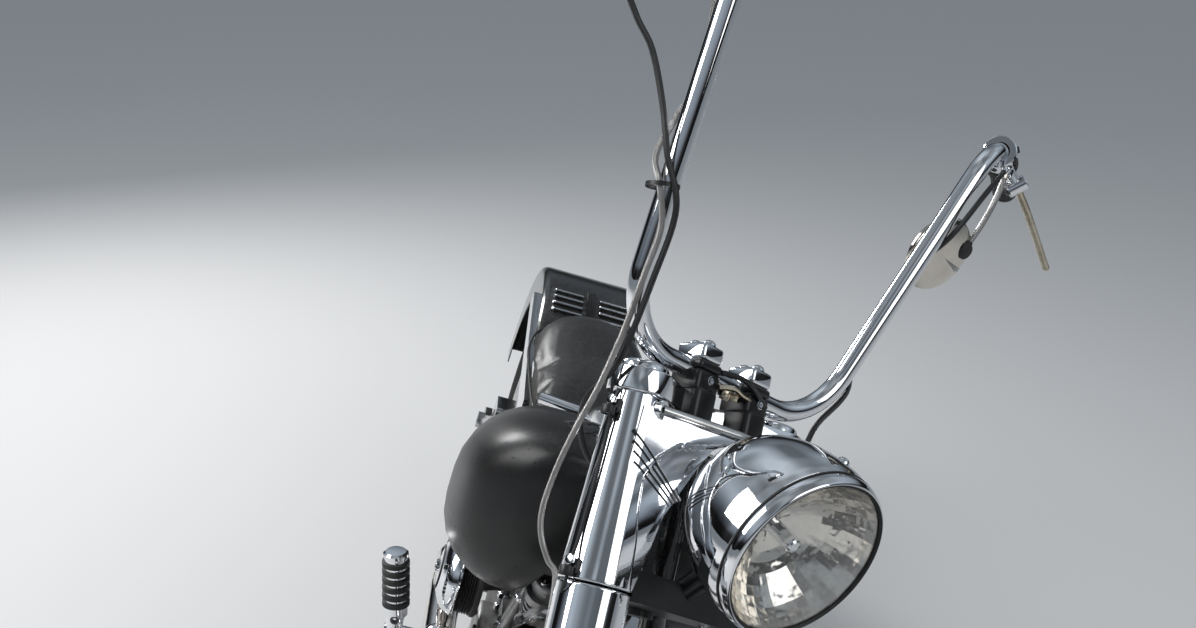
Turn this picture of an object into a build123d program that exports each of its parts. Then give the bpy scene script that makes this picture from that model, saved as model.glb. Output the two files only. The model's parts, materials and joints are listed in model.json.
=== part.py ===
from build123d import *
import math
import os

# Chopper motorcycle parked on its side stand, in millimetres and degrees.
# Bike frame: X forward, Y to the bike's left, Z up, on the ground below the middle of the upright bike.
# Fork frame: origin on the steering axis at the top clamp, X forward, Y left, Z up along the axis.

# Stance
wheel_base = 1630
head_x = 385.5
head_z = 923
rake = 32
fork_offset = 45
fork_half_width = 118
steering_stop = 34.5
lean = 14.2

# Wheels
front_tyre_radius = 321
front_tyre_width = 124
rear_tyre_radius = 321
rear_tyre_width = 150
rim_radius = 206
bead_half_width = 45
rim_lip = 4
spoke_radius = 2.2
spokes_per_side = 20
hub_flange_radius = 46
rim_to_disc = 60
disc_radius = rim_radius - rim_to_disc
disc_thickness = 5
disc_clearance = 5
running_clearance = 0.05

# Fork, heights measured down the steering axis from the top clamp's upper face
cap_radius = 28.5
cap_length = 60
upper_cover_top_radius = 31
lower_cover_radius = 40.5
seam_height = -246
seam_gap = 2
cover_bottom = -470
slider_radius = 30
axle_boss_half_width = 28
front_axle_radius = 12.5
front_axle_bore = 8
rear_axle_bore = 5
top_clamp_thickness = 30
lower_clamp_thickness = 34
stem_radius = 12.5
neck_radius = 35
neck_bore = 27
neck_top = -50
neck_bottom = -215
bearing_clearance = 0.3

# Headlight
lens_radius = 89
bezel_width = 8
bezel_radius = lens_radius + bezel_width
bowl_swell = 4
bowl_radius = bezel_radius + bowl_swell
bowl_depth = 150
bowl_wall = 3
lens_centre = (214, 0, -169)

# Handlebar
bar_radius = 12.7
riser_spacing = 90
bar_cap_room = 2.3
bar_height = bar_radius + bar_cap_room
bar_forward = 54
bar_corner_half_width = 144
bar_top = (195, 246, 425)
grip_length = 120
grip_radius = 17
bar_end_length = 215
bar_end_direction = (-0.46, 0.883, 0.096)
lever_direction = (0.494, 0.344, -0.797)
lever_pivot_offset = 42
mirror_centre = (118, 225, 300)
mirror_radius = 45

# Frame
frame_tube = 16
backbone_tube = 25
frame_half_width = 128
rail_height = 150
upright_x = -345
pivot_stay_radius = 13
axle_plate_thickness = 14

# Engine
crank_x = 40
crank_z = 270
crankcase_half_width = 85
crankcase_radius = 128
cylinder_angle = 22.5
deck_height = 135
head_start = 215
rocker_start = 260
rocker_top = 300
fin_pitch = 10
fin_thickness = 4

# Drive
pulley_radius = 118
front_pulley_radius = 45
belt_thickness = 4
belt_width = 22
belt_inner_y = 82
gearbox_x = -200
gearbox_z = 285

# Bodywork
fender_half_width = 98
fender_gap = 26
sheet = 2.5
front_fender_half_width = 72
front_fender_gap = 18
louvre_count = 4
louvre_length = 60
louvre_pitch = 3.4
seat_half_width = 117
tank_inner_y = 32

# Side stand, its foot given on the ground of the parked bike
stand_pivot = (165, frame_half_width + 30, 168)
stand_foot = (245, 335)
stand_radius = 11
foot_pad_radius = 26
foot_pad_thickness = 8
eye_radius = 15
eye_half_height = 12
ear_thickness = 5
stand_pin_radius = 5

rake_sin = math.sin(math.radians(rake))
rake_cos = math.cos(math.radians(rake))
axle_height = -(head_z - front_tyre_radius + fork_offset * rake_sin) / rake_cos
front_axle_x = head_x - axle_height * rake_sin + fork_offset * rake_cos
rear_axle_x = front_axle_x - wheel_base
front_centre = (fork_offset, 0, axle_height)
rear_centre = (rear_axle_x, 0, rear_tyre_radius)
head_plane = Plane(
    origin=(head_x, 0, head_z),
    x_dir=(rake_cos, 0, rake_sin),
    z_dir=(-rake_sin, 0, rake_cos),
)
turned_fork = head_plane.location * Rot(0, 0, steering_stop)


# Where the bike rests: both tyres on the ground at the chosen lean
def wheel_bottom(place, ring_radius, tube_radius):
    """Height of the lowest point of a tyre whose axle runs along Y in its own place."""
    centre = place.position
    axle = (place * Pos(0, 1, 0)).position - centre
    return centre.Z - ring_radius * math.sqrt(1 - axle.Z ** 2) - tube_radius


front_tube = front_tyre_width / 2
rear_tube = rear_tyre_width / 2
pitch = 0.0
for step in range(6):
    tilt = Rot(0, pitch, 0) * Rot(-lean, 0, 0)
    front_bottom = wheel_bottom(
        tilt * turned_fork * Pos(*front_centre), front_tyre_radius - front_tube, front_tube
    )
    rear_bottom = wheel_bottom(tilt * Pos(*rear_centre), rear_tyre_radius - rear_tube, rear_tube)
    pitch += math.degrees(math.atan((front_bottom - rear_bottom) / wheel_base))
parked = Pos(0, 0, -rear_bottom) * tilt
ground = parked.inverse()

assembly = []


def keep(piece, node, place=Location()):
    """Note a finished piece with its node's name and the place its own frame takes on the bike."""
    assembly.append((piece, node, place))


def side_plane(centre, angle=0):
    """Plane for a wheel's section: X outward at an angle above the front, Y along the axle."""
    radians = math.radians(angle)
    return Plane(
        origin=centre,
        x_dir=(math.cos(radians), 0, math.sin(radians)),
        z_dir=(-math.sin(radians), 0, math.cos(radians)),
    )


def axle_axis(centre):
    """Axis of a wheel."""
    return Axis(centre, (0, 1, 0))


def bent_tube(points, radii, radius):
    """Round tube along straight runs joined by tangent arcs, added to the open part."""
    with BuildLine() as route:
        FilletPolyline(*points, radius=radii)
    with BuildSketch(Plane(origin=route.line @ 0, z_dir=route.line % 0)) as section:
        Circle(radius)
    sweep(sections=section.sketch, path=route.line)


def rod(start, end, radius):
    """Straight round rod between two points, added to the open part."""
    run = Vector(*end) - Vector(*start)
    with BuildSketch(Plane(origin=start, z_dir=run)) as section:
        Circle(radius)
    extrude(section.sketch, amount=run.length)


def mirrored_y(point, side):
    """A point given for the left, on the side asked for."""
    return (point[0], side * point[1], point[2])


# Tyres: a round crown on straight beads that sit on the rim
tyre_table = [
    # name, centre, outer radius, width, place
    ("front", front_centre, front_tyre_radius, front_tyre_width, turned_fork),
    ("rear", rear_centre, rear_tyre_radius, rear_tyre_width, Location()),
]
rim_lip_height = 14
for name, centre, radius, width, place in tyre_table:
    half = width / 2
    with BuildPart() as tyre:
        with BuildSketch(side_plane(centre)):
            with BuildLine():
                shoulder = rim_radius + rim_lip_height
                Line((rim_radius, bead_half_width), (shoulder, bead_half_width))
                ThreePointArc(
                    (shoulder, bead_half_width),
                    (shoulder + 0.35 * (radius - half - shoulder), 0.3 * bead_half_width + 0.7 * half),
                    (radius - half, half),
                )
                ThreePointArc((radius - half, half), (radius, 0), (radius - half, -half))
                ThreePointArc(
                    (radius - half, -half),
                    (shoulder + 0.35 * (radius - half - shoulder), -0.3 * bead_half_width - 0.7 * half),
                    (shoulder, -bead_half_width),
                )
                Line((shoulder, -bead_half_width), (rim_radius, -bead_half_width))
                Line((rim_radius, -bead_half_width), (rim_radius, bead_half_width))
            make_face()
        revolve(axis=axle_axis(centre))
    keep(tyre, name + "_tyre", place)

# Spoked wheels: a rolled rim and a flanged hub joined by crossed spokes
wheel_table = [
    # name, centre, hub half width, bore radius, place
    ("front", front_centre, 52, front_axle_radius + running_clearance, turned_fork),
    ("rear", rear_centre, 60, 10 + running_clearance, Location()),
]
for name, centre, hub_half, bore, place in wheel_table:
    with BuildPart() as wheel:
        with BuildSketch(side_plane(centre)):
            lip_y = bead_half_width + rim_lip
            with BuildLine():
                Polyline(
                    (rim_radius, -bead_half_width),
                    (rim_radius + rim_lip_height - 1, -bead_half_width),
                    (rim_radius + rim_lip_height - 1, -lip_y),
                    (rim_radius - 6, -lip_y),
                    (rim_radius - 16, -22),
                    (rim_radius - 16, 22),
                    (rim_radius - 6, lip_y),
                    (rim_radius + rim_lip_height - 1, lip_y),
                    (rim_radius + rim_lip_height - 1, bead_half_width),
                    (rim_radius, bead_half_width),
                    close=True,
                )
            make_face()
            with BuildLine():
                Polyline(
                    (bore, -hub_half),
                    (20, -hub_half),
                    (20, -41),
                    (hub_flange_radius, -41),
                    (hub_flange_radius, -35),
                    (26, -26),
                    (26, 26),
                    (hub_flange_radius, 35),
                    (hub_flange_radius, 41),
                    (20, 41),
                    (20, hub_half),
                    (bore, hub_half),
                    close=True,
                )
            make_face()
        revolve(axis=axle_axis(centre))
        for lead in (1, -1):
            spoke_planes = []
            for side in (1, -1):
                for count in range(spokes_per_side // 2):
                    turn = 360 / spokes_per_side * (2 * count + (lead + 1) / 2 + (side + 1) / 4)
                    rim_turn = math.radians(turn)
                    hub_turn = math.radians(turn + lead * 62)
                    hub_end = Vector(
                        centre[0] + 41 * math.cos(hub_turn),
                        side * (38 + lead * 1.5),
                        centre[2] + 41 * math.sin(hub_turn),
                    )
                    rim_end = Vector(
                        centre[0] + (rim_radius - 14) * math.cos(rim_turn),
                        side * 9,
                        centre[2] + (rim_radius - 14) * math.sin(rim_turn),
                    )
                    spoke_planes.append(Plane(origin=hub_end, z_dir=rim_end - hub_end))
            with BuildSketch(*spoke_planes):
                Circle(spoke_radius)
            extrude(amount=(rim_end - hub_end).length)
    keep(wheel, name + "_wheel", place)

# Brake discs: a drilled ring on a dished carrier, on the right of both wheels
disc_table = [
    # name, centre, hub half width, place
    ("front", front_centre, 52, turned_fork),
    ("rear", rear_centre, 60, Location()),
]
disc_offset = 8
carrier_bore = 18
for name, centre, hub_half, place in disc_table:
    with BuildPart() as disc:
        with BuildSketch(side_plane(centre)):
            with BuildLine():
                Polyline(
                    (carrier_bore, -hub_half),
                    (carrier_bore, -hub_half - disc_thickness),
                    (disc_radius - 58, -hub_half - disc_offset - disc_thickness),
                    (disc_radius, -hub_half - disc_offset - disc_thickness),
                    (disc_radius, -hub_half - disc_offset),
                    (disc_radius - 56, -hub_half - disc_offset),
                    (30, -hub_half),
                    close=True,
                )
            make_face()
        revolve(axis=axle_axis(centre))
        with BuildSketch(Plane(origin=centre, x_dir=(1, 0, 0), z_dir=(0, -1, 0))):
            with PolarLocations(disc_radius - 38, 12):
                Circle(5)
            with PolarLocations(disc_radius - 18, 12, start_angle=15):
                Circle(5)
        extrude(amount=hub_half + disc_offset + 2 * disc_thickness, mode=Mode.SUBTRACT)
    keep(disc, name + "_brake_disc", place)

# Rear pulley on the left of the rear wheel
belt_outer_y = belt_inner_y + belt_width
with BuildPart() as pulley:
    with BuildSketch(side_plane(rear_centre)):
        with BuildLine():
            Polyline(
                (carrier_bore, 60),
                (40, 60),
                (70, belt_inner_y),
                (pulley_radius - 14, belt_inner_y + 3),
                (pulley_radius - 8, belt_inner_y - 3),
                (pulley_radius - 1, belt_inner_y - 3),
                (pulley_radius - 1, belt_outer_y + 3),
                (pulley_radius - 8, belt_outer_y + 3),
                (pulley_radius - 14, belt_inner_y + 11),
                (64, belt_inner_y + 9),
                (34, 68),
                (carrier_bore, 68),
                close=True,
            )
        make_face()
    revolve(axis=axle_axis(rear_centre))
    with BuildSketch(Plane(origin=rear_centre, x_dir=(1, 0, 0), z_dir=(0, -1, 0))):
        with PolarLocations(84, 5):
            Circle(14)
    extrude(amount=-belt_outer_y, mode=Mode.SUBTRACT)
keep(pulley, "rear_pulley")

# Front axle with its spacers, through the bosses of the sliders
boss_inner = fork_half_width - axle_boss_half_width
boss_outer = fork_half_width + axle_boss_half_width
with BuildPart() as front_axle:
    with BuildSketch(side_plane(front_centre)):
        with BuildLine():
            Polyline(
                (front_axle_bore, -boss_outer - 6),
                (19, -boss_outer - 6),
                (19, -boss_outer),
                (front_axle_radius, -boss_outer),
                (front_axle_radius, -boss_inner),
                (17, -boss_inner),
                (17, -52.5),
                (front_axle_radius, -52.5),
                (front_axle_radius, 52.5),
                (17, 52.5),
                (17, boss_inner),
                (front_axle_radius, boss_inner),
                (front_axle_radius, boss_outer),
                (19, boss_outer),
                (19, boss_outer + 6),
                (front_axle_bore, boss_outer + 6),
                close=True,
            )
        make_face()
    revolve(axis=axle_axis(front_centre))
keep(front_axle, "front_axle", turned_fork)

# Fork legs: caps, tapered upper covers, lower covers and sliders, one pair each
leg_spots = [(fork_offset, fork_half_width), (fork_offset, -fork_half_width)]
with BuildPart() as fork_caps:
    with BuildSketch(Plane.XY.offset(-cap_length)):
        with Locations(*leg_spots):
            Circle(cap_radius)
    extrude(amount=cap_length)
    fillet(fork_caps.edges().group_by(Axis.Z)[-1], 5)

with BuildPart() as upper_covers:
    for spot in leg_spots:
        with BuildSketch(Plane(origin=(spot[0], spot[1], seam_height))) as lower_end:
            Circle(lower_cover_radius)
        with BuildSketch(Plane(origin=(spot[0], spot[1], -cap_length))) as upper_end:
            Circle(upper_cover_top_radius)
        loft(sections=[lower_end.sketch, upper_end.sketch])
    add(fork_caps.part)
keep(upper_covers, "fork_upper_covers", turned_fork)

with BuildPart() as lower_covers:
    for spot in leg_spots:
        with BuildSketch(Plane(origin=(spot[0], spot[1], 0), x_dir=(1, 0, 0), z_dir=(0, -1, 0))) as section:
            with BuildLine():
                Polyline(
                    (0, seam_height - seam_gap),
                    (lower_cover_radius, seam_height - seam_gap),
                    (lower_cover_radius, cover_bottom + 30),
                    (lower_cover_radius + 2, cover_bottom + 8),
                    (lower_cover_radius + 2, cover_bottom),
                    (0, cover_bottom),
                    close=True,
                )
            make_face()
        revolve(section.sketch, axis=Axis((spot[0], spot[1], 0), (0, 0, 1)))
keep(lower_covers, "fork_lower_covers", turned_fork)

with BuildPart() as sliders:
    for spot in leg_spots:
        with BuildSketch(Plane(origin=(spot[0], spot[1], 0), x_dir=(1, 0, 0), z_dir=(0, -1, 0))) as section:
            with BuildLine():
                Polyline(
                    (0, cover_bottom),
                    (slider_radius, cover_bottom),
                    (slider_radius, axle_height + 70),
                    (slider_radius - 5, axle_height + 45),
                    (slider_radius - 5, axle_height - 12),
                    (slider_radius - 12, axle_height - 24),
                    (0, axle_height - 24),
                    close=True,
                )
            make_face()
        revolve(section.sketch, axis=Axis((spot[0], spot[1], 0), (0, 0, 1)))
        with BuildSketch(Plane(origin=(spot[0], spot[1], axle_height), x_dir=(1, 0, 0), z_dir=(0, -1, 0))) as boss:
            Circle(26)
        extrude(boss.sketch, amount=axle_boss_half_width, both=True)
    with BuildSketch(Plane(origin=front_centre, x_dir=(1, 0, 0), z_dir=(0, -1, 0))) as axle_hole:
        Circle(front_axle_radius)
    extrude(axle_hole.sketch, amount=2 * fork_half_width, both=True, mode=Mode.SUBTRACT)
keep(sliders, "fork_sliders", turned_fork)

# Clamps: the upper one carries the risers of the handlebar, the lower one the stem
riser_spots = [(bar_forward, riser_spacing / 2), (bar_forward, -riser_spacing / 2)]
riser_top = bar_height + bar_radius + 9
with BuildPart() as top_clamp:
    with BuildSketch(Plane.XY.offset(-8 - top_clamp_thickness)):
        with Locations(*leg_spots):
            Circle(cap_radius + 9)
        Circle(32)
        with Locations(*riser_spots):
            Circle(24)
        make_hull()
        with Locations(*leg_spots):
            Circle(cap_radius, mode=Mode.SUBTRACT)
        Circle(stem_radius, mode=Mode.SUBTRACT)
    extrude(amount=top_clamp_thickness)
    with BuildSketch(Plane.XY.offset(-8)):
        with Locations(*riser_spots):
            RectangleRounded(44, 38, 8)
    extrude(amount=riser_top + 8)
    with BuildSketch(Plane.XZ.offset(-riser_spacing)):
        with Locations((bar_forward, bar_height)):
            Circle(bar_radius)
    extrude(amount=2 * riser_spacing, mode=Mode.SUBTRACT)
    with BuildSketch(Plane.XY.offset(riser_top)):
        with Locations(*riser_spots):
            RectangleRounded(40, 30, 9)
    extrude(amount=9)
    with BuildSketch(Plane.XY.offset(riser_top + 9)):
        for x, y in riser_spots:
            with Locations((x - 10, y), (x + 10, y)):
                Circle(8.5)
    extrude(amount=7)
keep(top_clamp, "top_clamp", turned_fork)

lower_clamp_top = neck_bottom - 4
cone_radius = neck_bore - bearing_clearance
with BuildPart() as stem:
    with BuildSketch(Plane.XZ):
        with BuildLine():
            Polyline(
                (0, lower_clamp_top - lower_clamp_thickness - 8),
                (20, lower_clamp_top - lower_clamp_thickness - 8),
                (20, lower_clamp_top - lower_clamp_thickness),
                (stem_radius, lower_clamp_top - lower_clamp_thickness),
                (stem_radius, lower_clamp_top),
                (cone_radius, lower_clamp_top),
                (cone_radius, neck_bottom + 14),
                (stem_radius, neck_bottom + 18),
                (stem_radius, neck_top - 18),
                (cone_radius, neck_top - 14),
                (cone_radius, -8 - top_clamp_thickness),
                (stem_radius, -8 - top_clamp_thickness),
                (stem_radius, -8),
                (19, -8),
                (19, 4),
                (0, 4),
                close=True,
            )
        make_face()
    revolve(axis=Axis.Z)

with BuildPart() as lower_clamp:
    with BuildSketch(Plane.XY.offset(lower_clamp_top - lower_clamp_thickness)):
        with Locations(*leg_spots):
            Circle(30)
        Circle(36)
        make_hull()
        with Locations(*leg_spots):
            Circle(lower_cover_radius + 0.5, mode=Mode.SUBTRACT)
        Circle(stem_radius, mode=Mode.SUBTRACT)
    extrude(amount=lower_clamp_thickness)
    add(stem.part)

# Headlight: bowl, lens and reflector turned about the lamp's axis, which points straight ahead
lamp_section = Plane(origin=lens_centre, x_dir=(rake_sin, 0, rake_cos), z_dir=(0, 1, 0))
lamp_axis = Axis(lens_centre, (rake_cos, 0, -rake_sin))
bowl_back = 12
bowl_belly = (bowl_radius - 23, -101)
bowl_shoulder = -55
with BuildPart() as bowl:
    with BuildSketch(lamp_section):
        with BuildLine():
            Line((0, -bowl_depth), (bowl_back, -bowl_depth))
            ThreePointArc((bowl_back, -bowl_depth), bowl_belly, (bowl_radius, bowl_shoulder))
            ThreePointArc((bowl_radius, bowl_shoulder), (bowl_radius + 1.5, -28), (bezel_radius, -4))
            Polyline((bezel_radius, -4), (bezel_radius + 2, -4), (bezel_radius + 2, 6))
            ThreePointArc((bezel_radius + 2, 6), (bezel_radius - 2, 11), (lens_radius, 12))
            Polyline((lens_radius, 12), (lens_radius, 0), (bezel_radius - bowl_wall, 0))
            ThreePointArc(
                (bezel_radius - bowl_wall, 0),
                (bowl_radius + 1.5 - bowl_wall, -28),
                (bowl_radius - bowl_wall, bowl_shoulder),
            )
            ThreePointArc(
                (bowl_radius - bowl_wall, bowl_shoulder),
                (bowl_belly[0] - bowl_wall, bowl_belly[1] + 2),
                (bowl_back, bowl_wall - bowl_depth),
            )
            Polyline((bowl_back, bowl_wall - bowl_depth), (0, bowl_wall - bowl_depth), (0, -bowl_depth))
        make_face()
    revolve(axis=lamp_axis)
keep(bowl, "headlight_bowl", turned_fork)

lens_wall = 3
lens_rim = 8
lens_rise = 16
dome_radius = (lens_radius**2 + lens_rise**2) / (2 * lens_rise)
dome_half = lens_radius / 2
dome_mid = lens_rim + lens_rise - dome_radius + math.sqrt(dome_radius**2 - dome_half**2)
with BuildPart() as lens:
    with BuildSketch(lamp_section):
        with BuildLine():
            ThreePointArc((0, lens_rim + lens_rise), (dome_half, dome_mid), (lens_radius, lens_rim))
            Line((lens_radius, lens_rim), (lens_radius, lens_rim - lens_wall))
            ThreePointArc(
                (lens_radius, lens_rim - lens_wall),
                (dome_half, dome_mid - lens_wall),
                (0, lens_rim + lens_rise - lens_wall),
            )
            Line((0, lens_rim + lens_rise - lens_wall), (0, lens_rim + lens_rise))
        make_face()
    revolve(axis=lamp_axis)
keep(lens, "headlight_lens", turned_fork)

with BuildPart() as reflector:
    with BuildSketch(lamp_section):
        with BuildLine():
            Polyline((lens_radius, 0), (lens_radius, 3), (lens_radius - 4, 3))
            ThreePointArc((lens_radius - 4, 3), (lens_radius - 39, -46), (12, -62))
            Polyline((12, -62), (12, -22), (0, -14), (0, -80), (14, -80), (14, -64))
            ThreePointArc((14, -64), (lens_radius - 36, -47), (lens_radius, 0))
        make_face()
    revolve(axis=lamp_axis)
keep(reflector, "headlight_reflector", turned_fork)

with BuildPart() as lamp_bracket:
    rod((62, 0, lower_clamp_top - 8), (100, 0, -198), 14)
    add(lower_clamp.part)
    with BuildSketch(lamp_section) as bowl_shape:
        with BuildLine():
            Line((0, -bowl_depth), (bowl_back, -bowl_depth))
            ThreePointArc((bowl_back, -bowl_depth), bowl_belly, (bowl_radius, bowl_shoulder))
            Polyline((bowl_radius, bowl_shoulder), (0, bowl_shoulder), (0, -bowl_depth))
        make_face()
    revolve(bowl_shape.sketch, axis=lamp_axis, mode=Mode.SUBTRACT)
keep(lamp_bracket, "lower_clamp", turned_fork)

# Nacelle: two wings that run in from the fork covers to the headlight, with a rolled moulding on top
wing_root = (80, 100)
wing_rise = 32
moulding_height = -50
moulding_radius = 6
with BuildPart() as nacelle:
    for side in (1, -1):
        along = Vector(wing_rise, -side * wing_root[1], 0)
        wing_plane = Plane(
            origin=(wing_root[0], side * wing_root[1], 0), x_dir=along, z_dir=along.cross(Vector(0, 0, 1))
        )
        with BuildSketch(wing_plane) as wing:
            with BuildLine():
                Polyline(
                    (-19, seam_height + 3),
                    (-19, moulding_height),
                    (96, moulding_height),
                    (63, -74),
                    (34, -130),
                    (21, -158),
                    (10, -213),
                    (3, seam_height + 3),
                    close=True,
                )
            make_face()
        extrude(wing.sketch, amount=sheet / 2, both=True)
    bent_tube(
        [(80, 112, moulding_height), (114, 0, moulding_height), (80, -112, moulding_height)],
        [60],
        moulding_radius,
    )
    add(upper_covers.part, mode=Mode.SUBTRACT)
    with BuildSketch(lamp_section) as bowl_space:
        with BuildLine():
            Line((0, -bowl_depth - 4), (bowl_back, -bowl_depth - 4))
            ThreePointArc(
                (bowl_back, -bowl_depth - 4),
                (bowl_belly[0] + 3, bowl_belly[1] - 3),
                (bowl_radius + 4, bowl_shoulder),
            )
            Polyline((bowl_radius + 4, bowl_shoulder), (0, bowl_shoulder), (0, -bowl_depth - 4))
        make_face()
    revolve(bowl_space.sketch, axis=lamp_axis, mode=Mode.SUBTRACT)
keep(nacelle, "nacelle", turned_fork)

# Handlebar and what it carries
end_run = Vector(*bar_end_direction).normalized()
bar_end = tuple(Vector(*bar_top) + end_run * bar_end_length)
bar_corner = (bar_forward, bar_corner_half_width, bar_height)
with BuildPart() as handlebar:
    bent_tube(
        [
            bar_end,
            bar_top,
            bar_corner,
            mirrored_y(bar_corner, -1),
            mirrored_y(bar_top, -1),
            mirrored_y(bar_end, -1),
        ],
        [62, 70, 70, 62],
        bar_radius,
    )
keep(handlebar, "handlebar", turned_fork)

with BuildPart() as grips:
    for side in (1, -1):
        run = Vector(*mirrored_y(tuple(end_run), side))
        outer_end = Vector(*mirrored_y(bar_end, side))
        rod(outer_end + run * 5, outer_end - run * (grip_length - 5), grip_radius)
    add(handlebar.part, mode=Mode.SUBTRACT)
keep(grips, "grips", turned_fork)

housing_start = 46
housing_length = 26
perch_start = 73
perch_length = 20
lever_run = Vector(*lever_direction).normalized()
control_table = [
    # side, has a fluid reservoir
    (1, False),
    (-1, True),
]
with BuildPart() as hand_controls:
    for side, has_reservoir in control_table:
        run = Vector(*mirrored_y(tuple(end_run), side))
        reach = Vector(*mirrored_y(tuple(lever_run), side))
        corner = Vector(*mirrored_y(bar_top, side))
        pivot = corner + run * (perch_start + perch_length / 2) + reach * lever_pivot_offset
        rod(corner + run * housing_start, corner + run * (housing_start + housing_length + 2), 22)
        rod(corner + run * perch_start, corner + run * (perch_start + perch_length), 18)
        rod(corner + run * (perch_start + perch_length / 2), pivot, 8)
        rod(pivot - run.cross(reach) * 12, pivot + run.cross(reach) * 12, 10)
        if has_reservoir:
            tank_middle = corner + run * (perch_start - 14) + reach * 34
            rod(tank_middle - run * 26, tank_middle + run * 26, 15)
        lever_tip = pivot + run * 165 + reach * 30
        bent_tube(
            [pivot, pivot + run * 40 + reach * 16, pivot + run * 100 + reach * 18, lever_tip],
            [60, 120],
            6,
        )
        with Locations(tuple(lever_tip)):
            Sphere(8.5)
    add(handlebar.part, mode=Mode.SUBTRACT)
keep(hand_controls, "hand_controls", turned_fork)

# Round mirrors hung below the bar ends
mirror_thickness = 14
with BuildPart() as mirrors:
    for side in (1, -1):
        mirror_plane = Plane(
            origin=mirrored_y(mirror_centre, side), x_dir=(0, side, 0), z_dir=(rake_cos, 0, -rake_sin)
        )
        corner = Vector(*mirrored_y(bar_top, side))
        run = Vector(*mirrored_y(tuple(end_run), side))
        reach = Vector(*mirrored_y(tuple(lever_run), side))
        with BuildSketch(mirror_plane) as disc_face:
            Circle(mirror_radius)
        extrude(disc_face.sketch, amount=mirror_thickness)
        stem_end = mirror_plane.from_local_coords(Vector(30, side * 22, mirror_thickness / 2))
        rod(corner + run * 59 + reach * 20, stem_end, 4)
    add(handlebar.part, mode=Mode.SUBTRACT)
    add(hand_controls.part, mode=Mode.SUBTRACT)
keep(mirrors, "mirrors", turned_fork)

# Front caliper on the right slider, and the fender
caliper_centre = (fork_offset + 68 - disc_radius, 0, axle_height + disc_radius - 54)
with BuildPart() as front_caliper:
    disc_middle = -(52 + disc_offset + disc_thickness / 2)
    slot_half = disc_thickness / 2 + disc_clearance
    with BuildSketch(Plane.XZ.offset(-disc_middle - 20)):
        with Locations((caliper_centre[0], caliper_centre[2])):
            RectangleRounded(66, 92, 14)
    extrude(amount=44)
    with BuildSketch(Plane.XZ.offset(-disc_middle - 20)) as ear:
        with Locations((caliper_centre[0] + 40, caliper_centre[2] + 10)):
            Rectangle(56, 40)
    extrude(ear.sketch, amount=64)
    with BuildSketch(Plane.XZ.offset(-disc_middle - slot_half)) as slot:
        with Locations((front_centre[0], front_centre[2])):
            Circle(disc_radius + disc_clearance)
    extrude(slot.sketch, amount=2 * slot_half, mode=Mode.SUBTRACT)
    add(sliders.part, mode=Mode.SUBTRACT)
keep(front_caliper, "front_caliper", turned_fork)

front_crown = front_tyre_radius + front_fender_gap
with BuildPart() as front_fender:
    with BuildSketch(side_plane(front_centre, 40)) as section:
        with BuildLine():
            half = front_fender_half_width
            inner = half - sheet
            Polyline((front_crown - 52, -half), (front_crown - 26, -half))
            ThreePointArc((front_crown - 26, -half), (front_crown + sheet, 0), (front_crown - 26, half))
            Polyline((front_crown - 26, half), (front_crown - 52, half), (front_crown - 52, inner))
            Line((front_crown - 52, inner), (front_crown - 26, inner))
            ThreePointArc((front_crown - 26, inner), (front_crown, 0), (front_crown - 26, -inner))
            Polyline((front_crown - 26, -inner), (front_crown - 52, -inner), (front_crown - 52, -half))
        make_face()
    revolve(section.sketch, axis=axle_axis(front_centre), revolution_arc=-150)
    for side in (1, -1):
        brace = Plane(
            origin=(fork_offset, side * front_fender_half_width, axle_height + 225),
            x_dir=(1, 0, 0),
            z_dir=(0, side, 0),
        )
        with BuildSketch(brace) as plate:
            RectangleRounded(36, 164, 10)
        extrude(plate.sketch, amount=boss_inner - front_fender_half_width)
    add(sliders.part, mode=Mode.SUBTRACT)
    add(lower_covers.part, mode=Mode.SUBTRACT)
keep(front_fender, "front_fender", turned_fork)

# Lines that stay on the front end
line_radius = 4
with BuildPart() as brake_line:
    bent_tube(
        [
            (196, -290, 401),
            (178, -240, 330),
            (140, -222, 240),
            (108, -202, 140),
            (80, -182, 45),
            (44, -172, -45),
            (0, -172, -125),
            (-26, -168, -205),
            (-20, -150, -290),
            (-4, -140, -390),
            (-22, -118, -490),
            (-34, -92, -590),
        ],
        [90, 110, 110, 110, 110, 110, 110, 90, 110, 90],
        line_radius,
    )
    add(hand_controls.part, mode=Mode.SUBTRACT)
    add(front_caliper.part, mode=Mode.SUBTRACT)
keep(brake_line, "brake_line", turned_fork)

cable_table = [
    # side, radii of the bends
    (1, [60, 110, 110, 110, 60, 50, 70]),
    (-1, [60, 110, 110, 110, 60, 50, 70]),
]
with BuildPart() as cables:
    for side, radii in cable_table:
        bent_tube(
            [
                mirrored_y((182, 292, 400), side),
                mirrored_y((192, 236, 372), side),
                mirrored_y((180, 208, 300), side),
                mirrored_y((150, 190, 215), side),
                mirrored_y((122, 166, 120), side),
                mirrored_y((102, 110, 30), side),
                mirrored_y((86, 50, -30), side),
                mirrored_y((78, 50, -110), side),
                mirrored_y((46, 60, -216), side),
            ],
            radii,
            line_radius,
        )
    for piece in (hand_controls, handlebar, top_clamp):
        add(piece.part, mode=Mode.SUBTRACT)
keep(cables, "control_cables", turned_fork)

# Steering head, backbone and the two sides of the frame
neck_socket = head_plane.offset(neck_bottom)
backbone_front = (443, 0, 806)
backbone_rear = (-226, 0, 584)
with BuildPart() as backbone:
    with BuildSketch(neck_socket) as neck_ring:
        Circle(neck_radius)
    extrude(neck_ring.sketch, amount=neck_top - neck_bottom)
    rod(backbone_front, backbone_rear, backbone_tube)
    with BuildSketch(head_plane.offset(neck_bottom - 5)) as neck_hole:
        Circle(neck_bore)
    extrude(neck_hole.sketch, amount=neck_top - neck_bottom + 10, mode=Mode.SUBTRACT)
keep(backbone, "frame_backbone")

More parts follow.
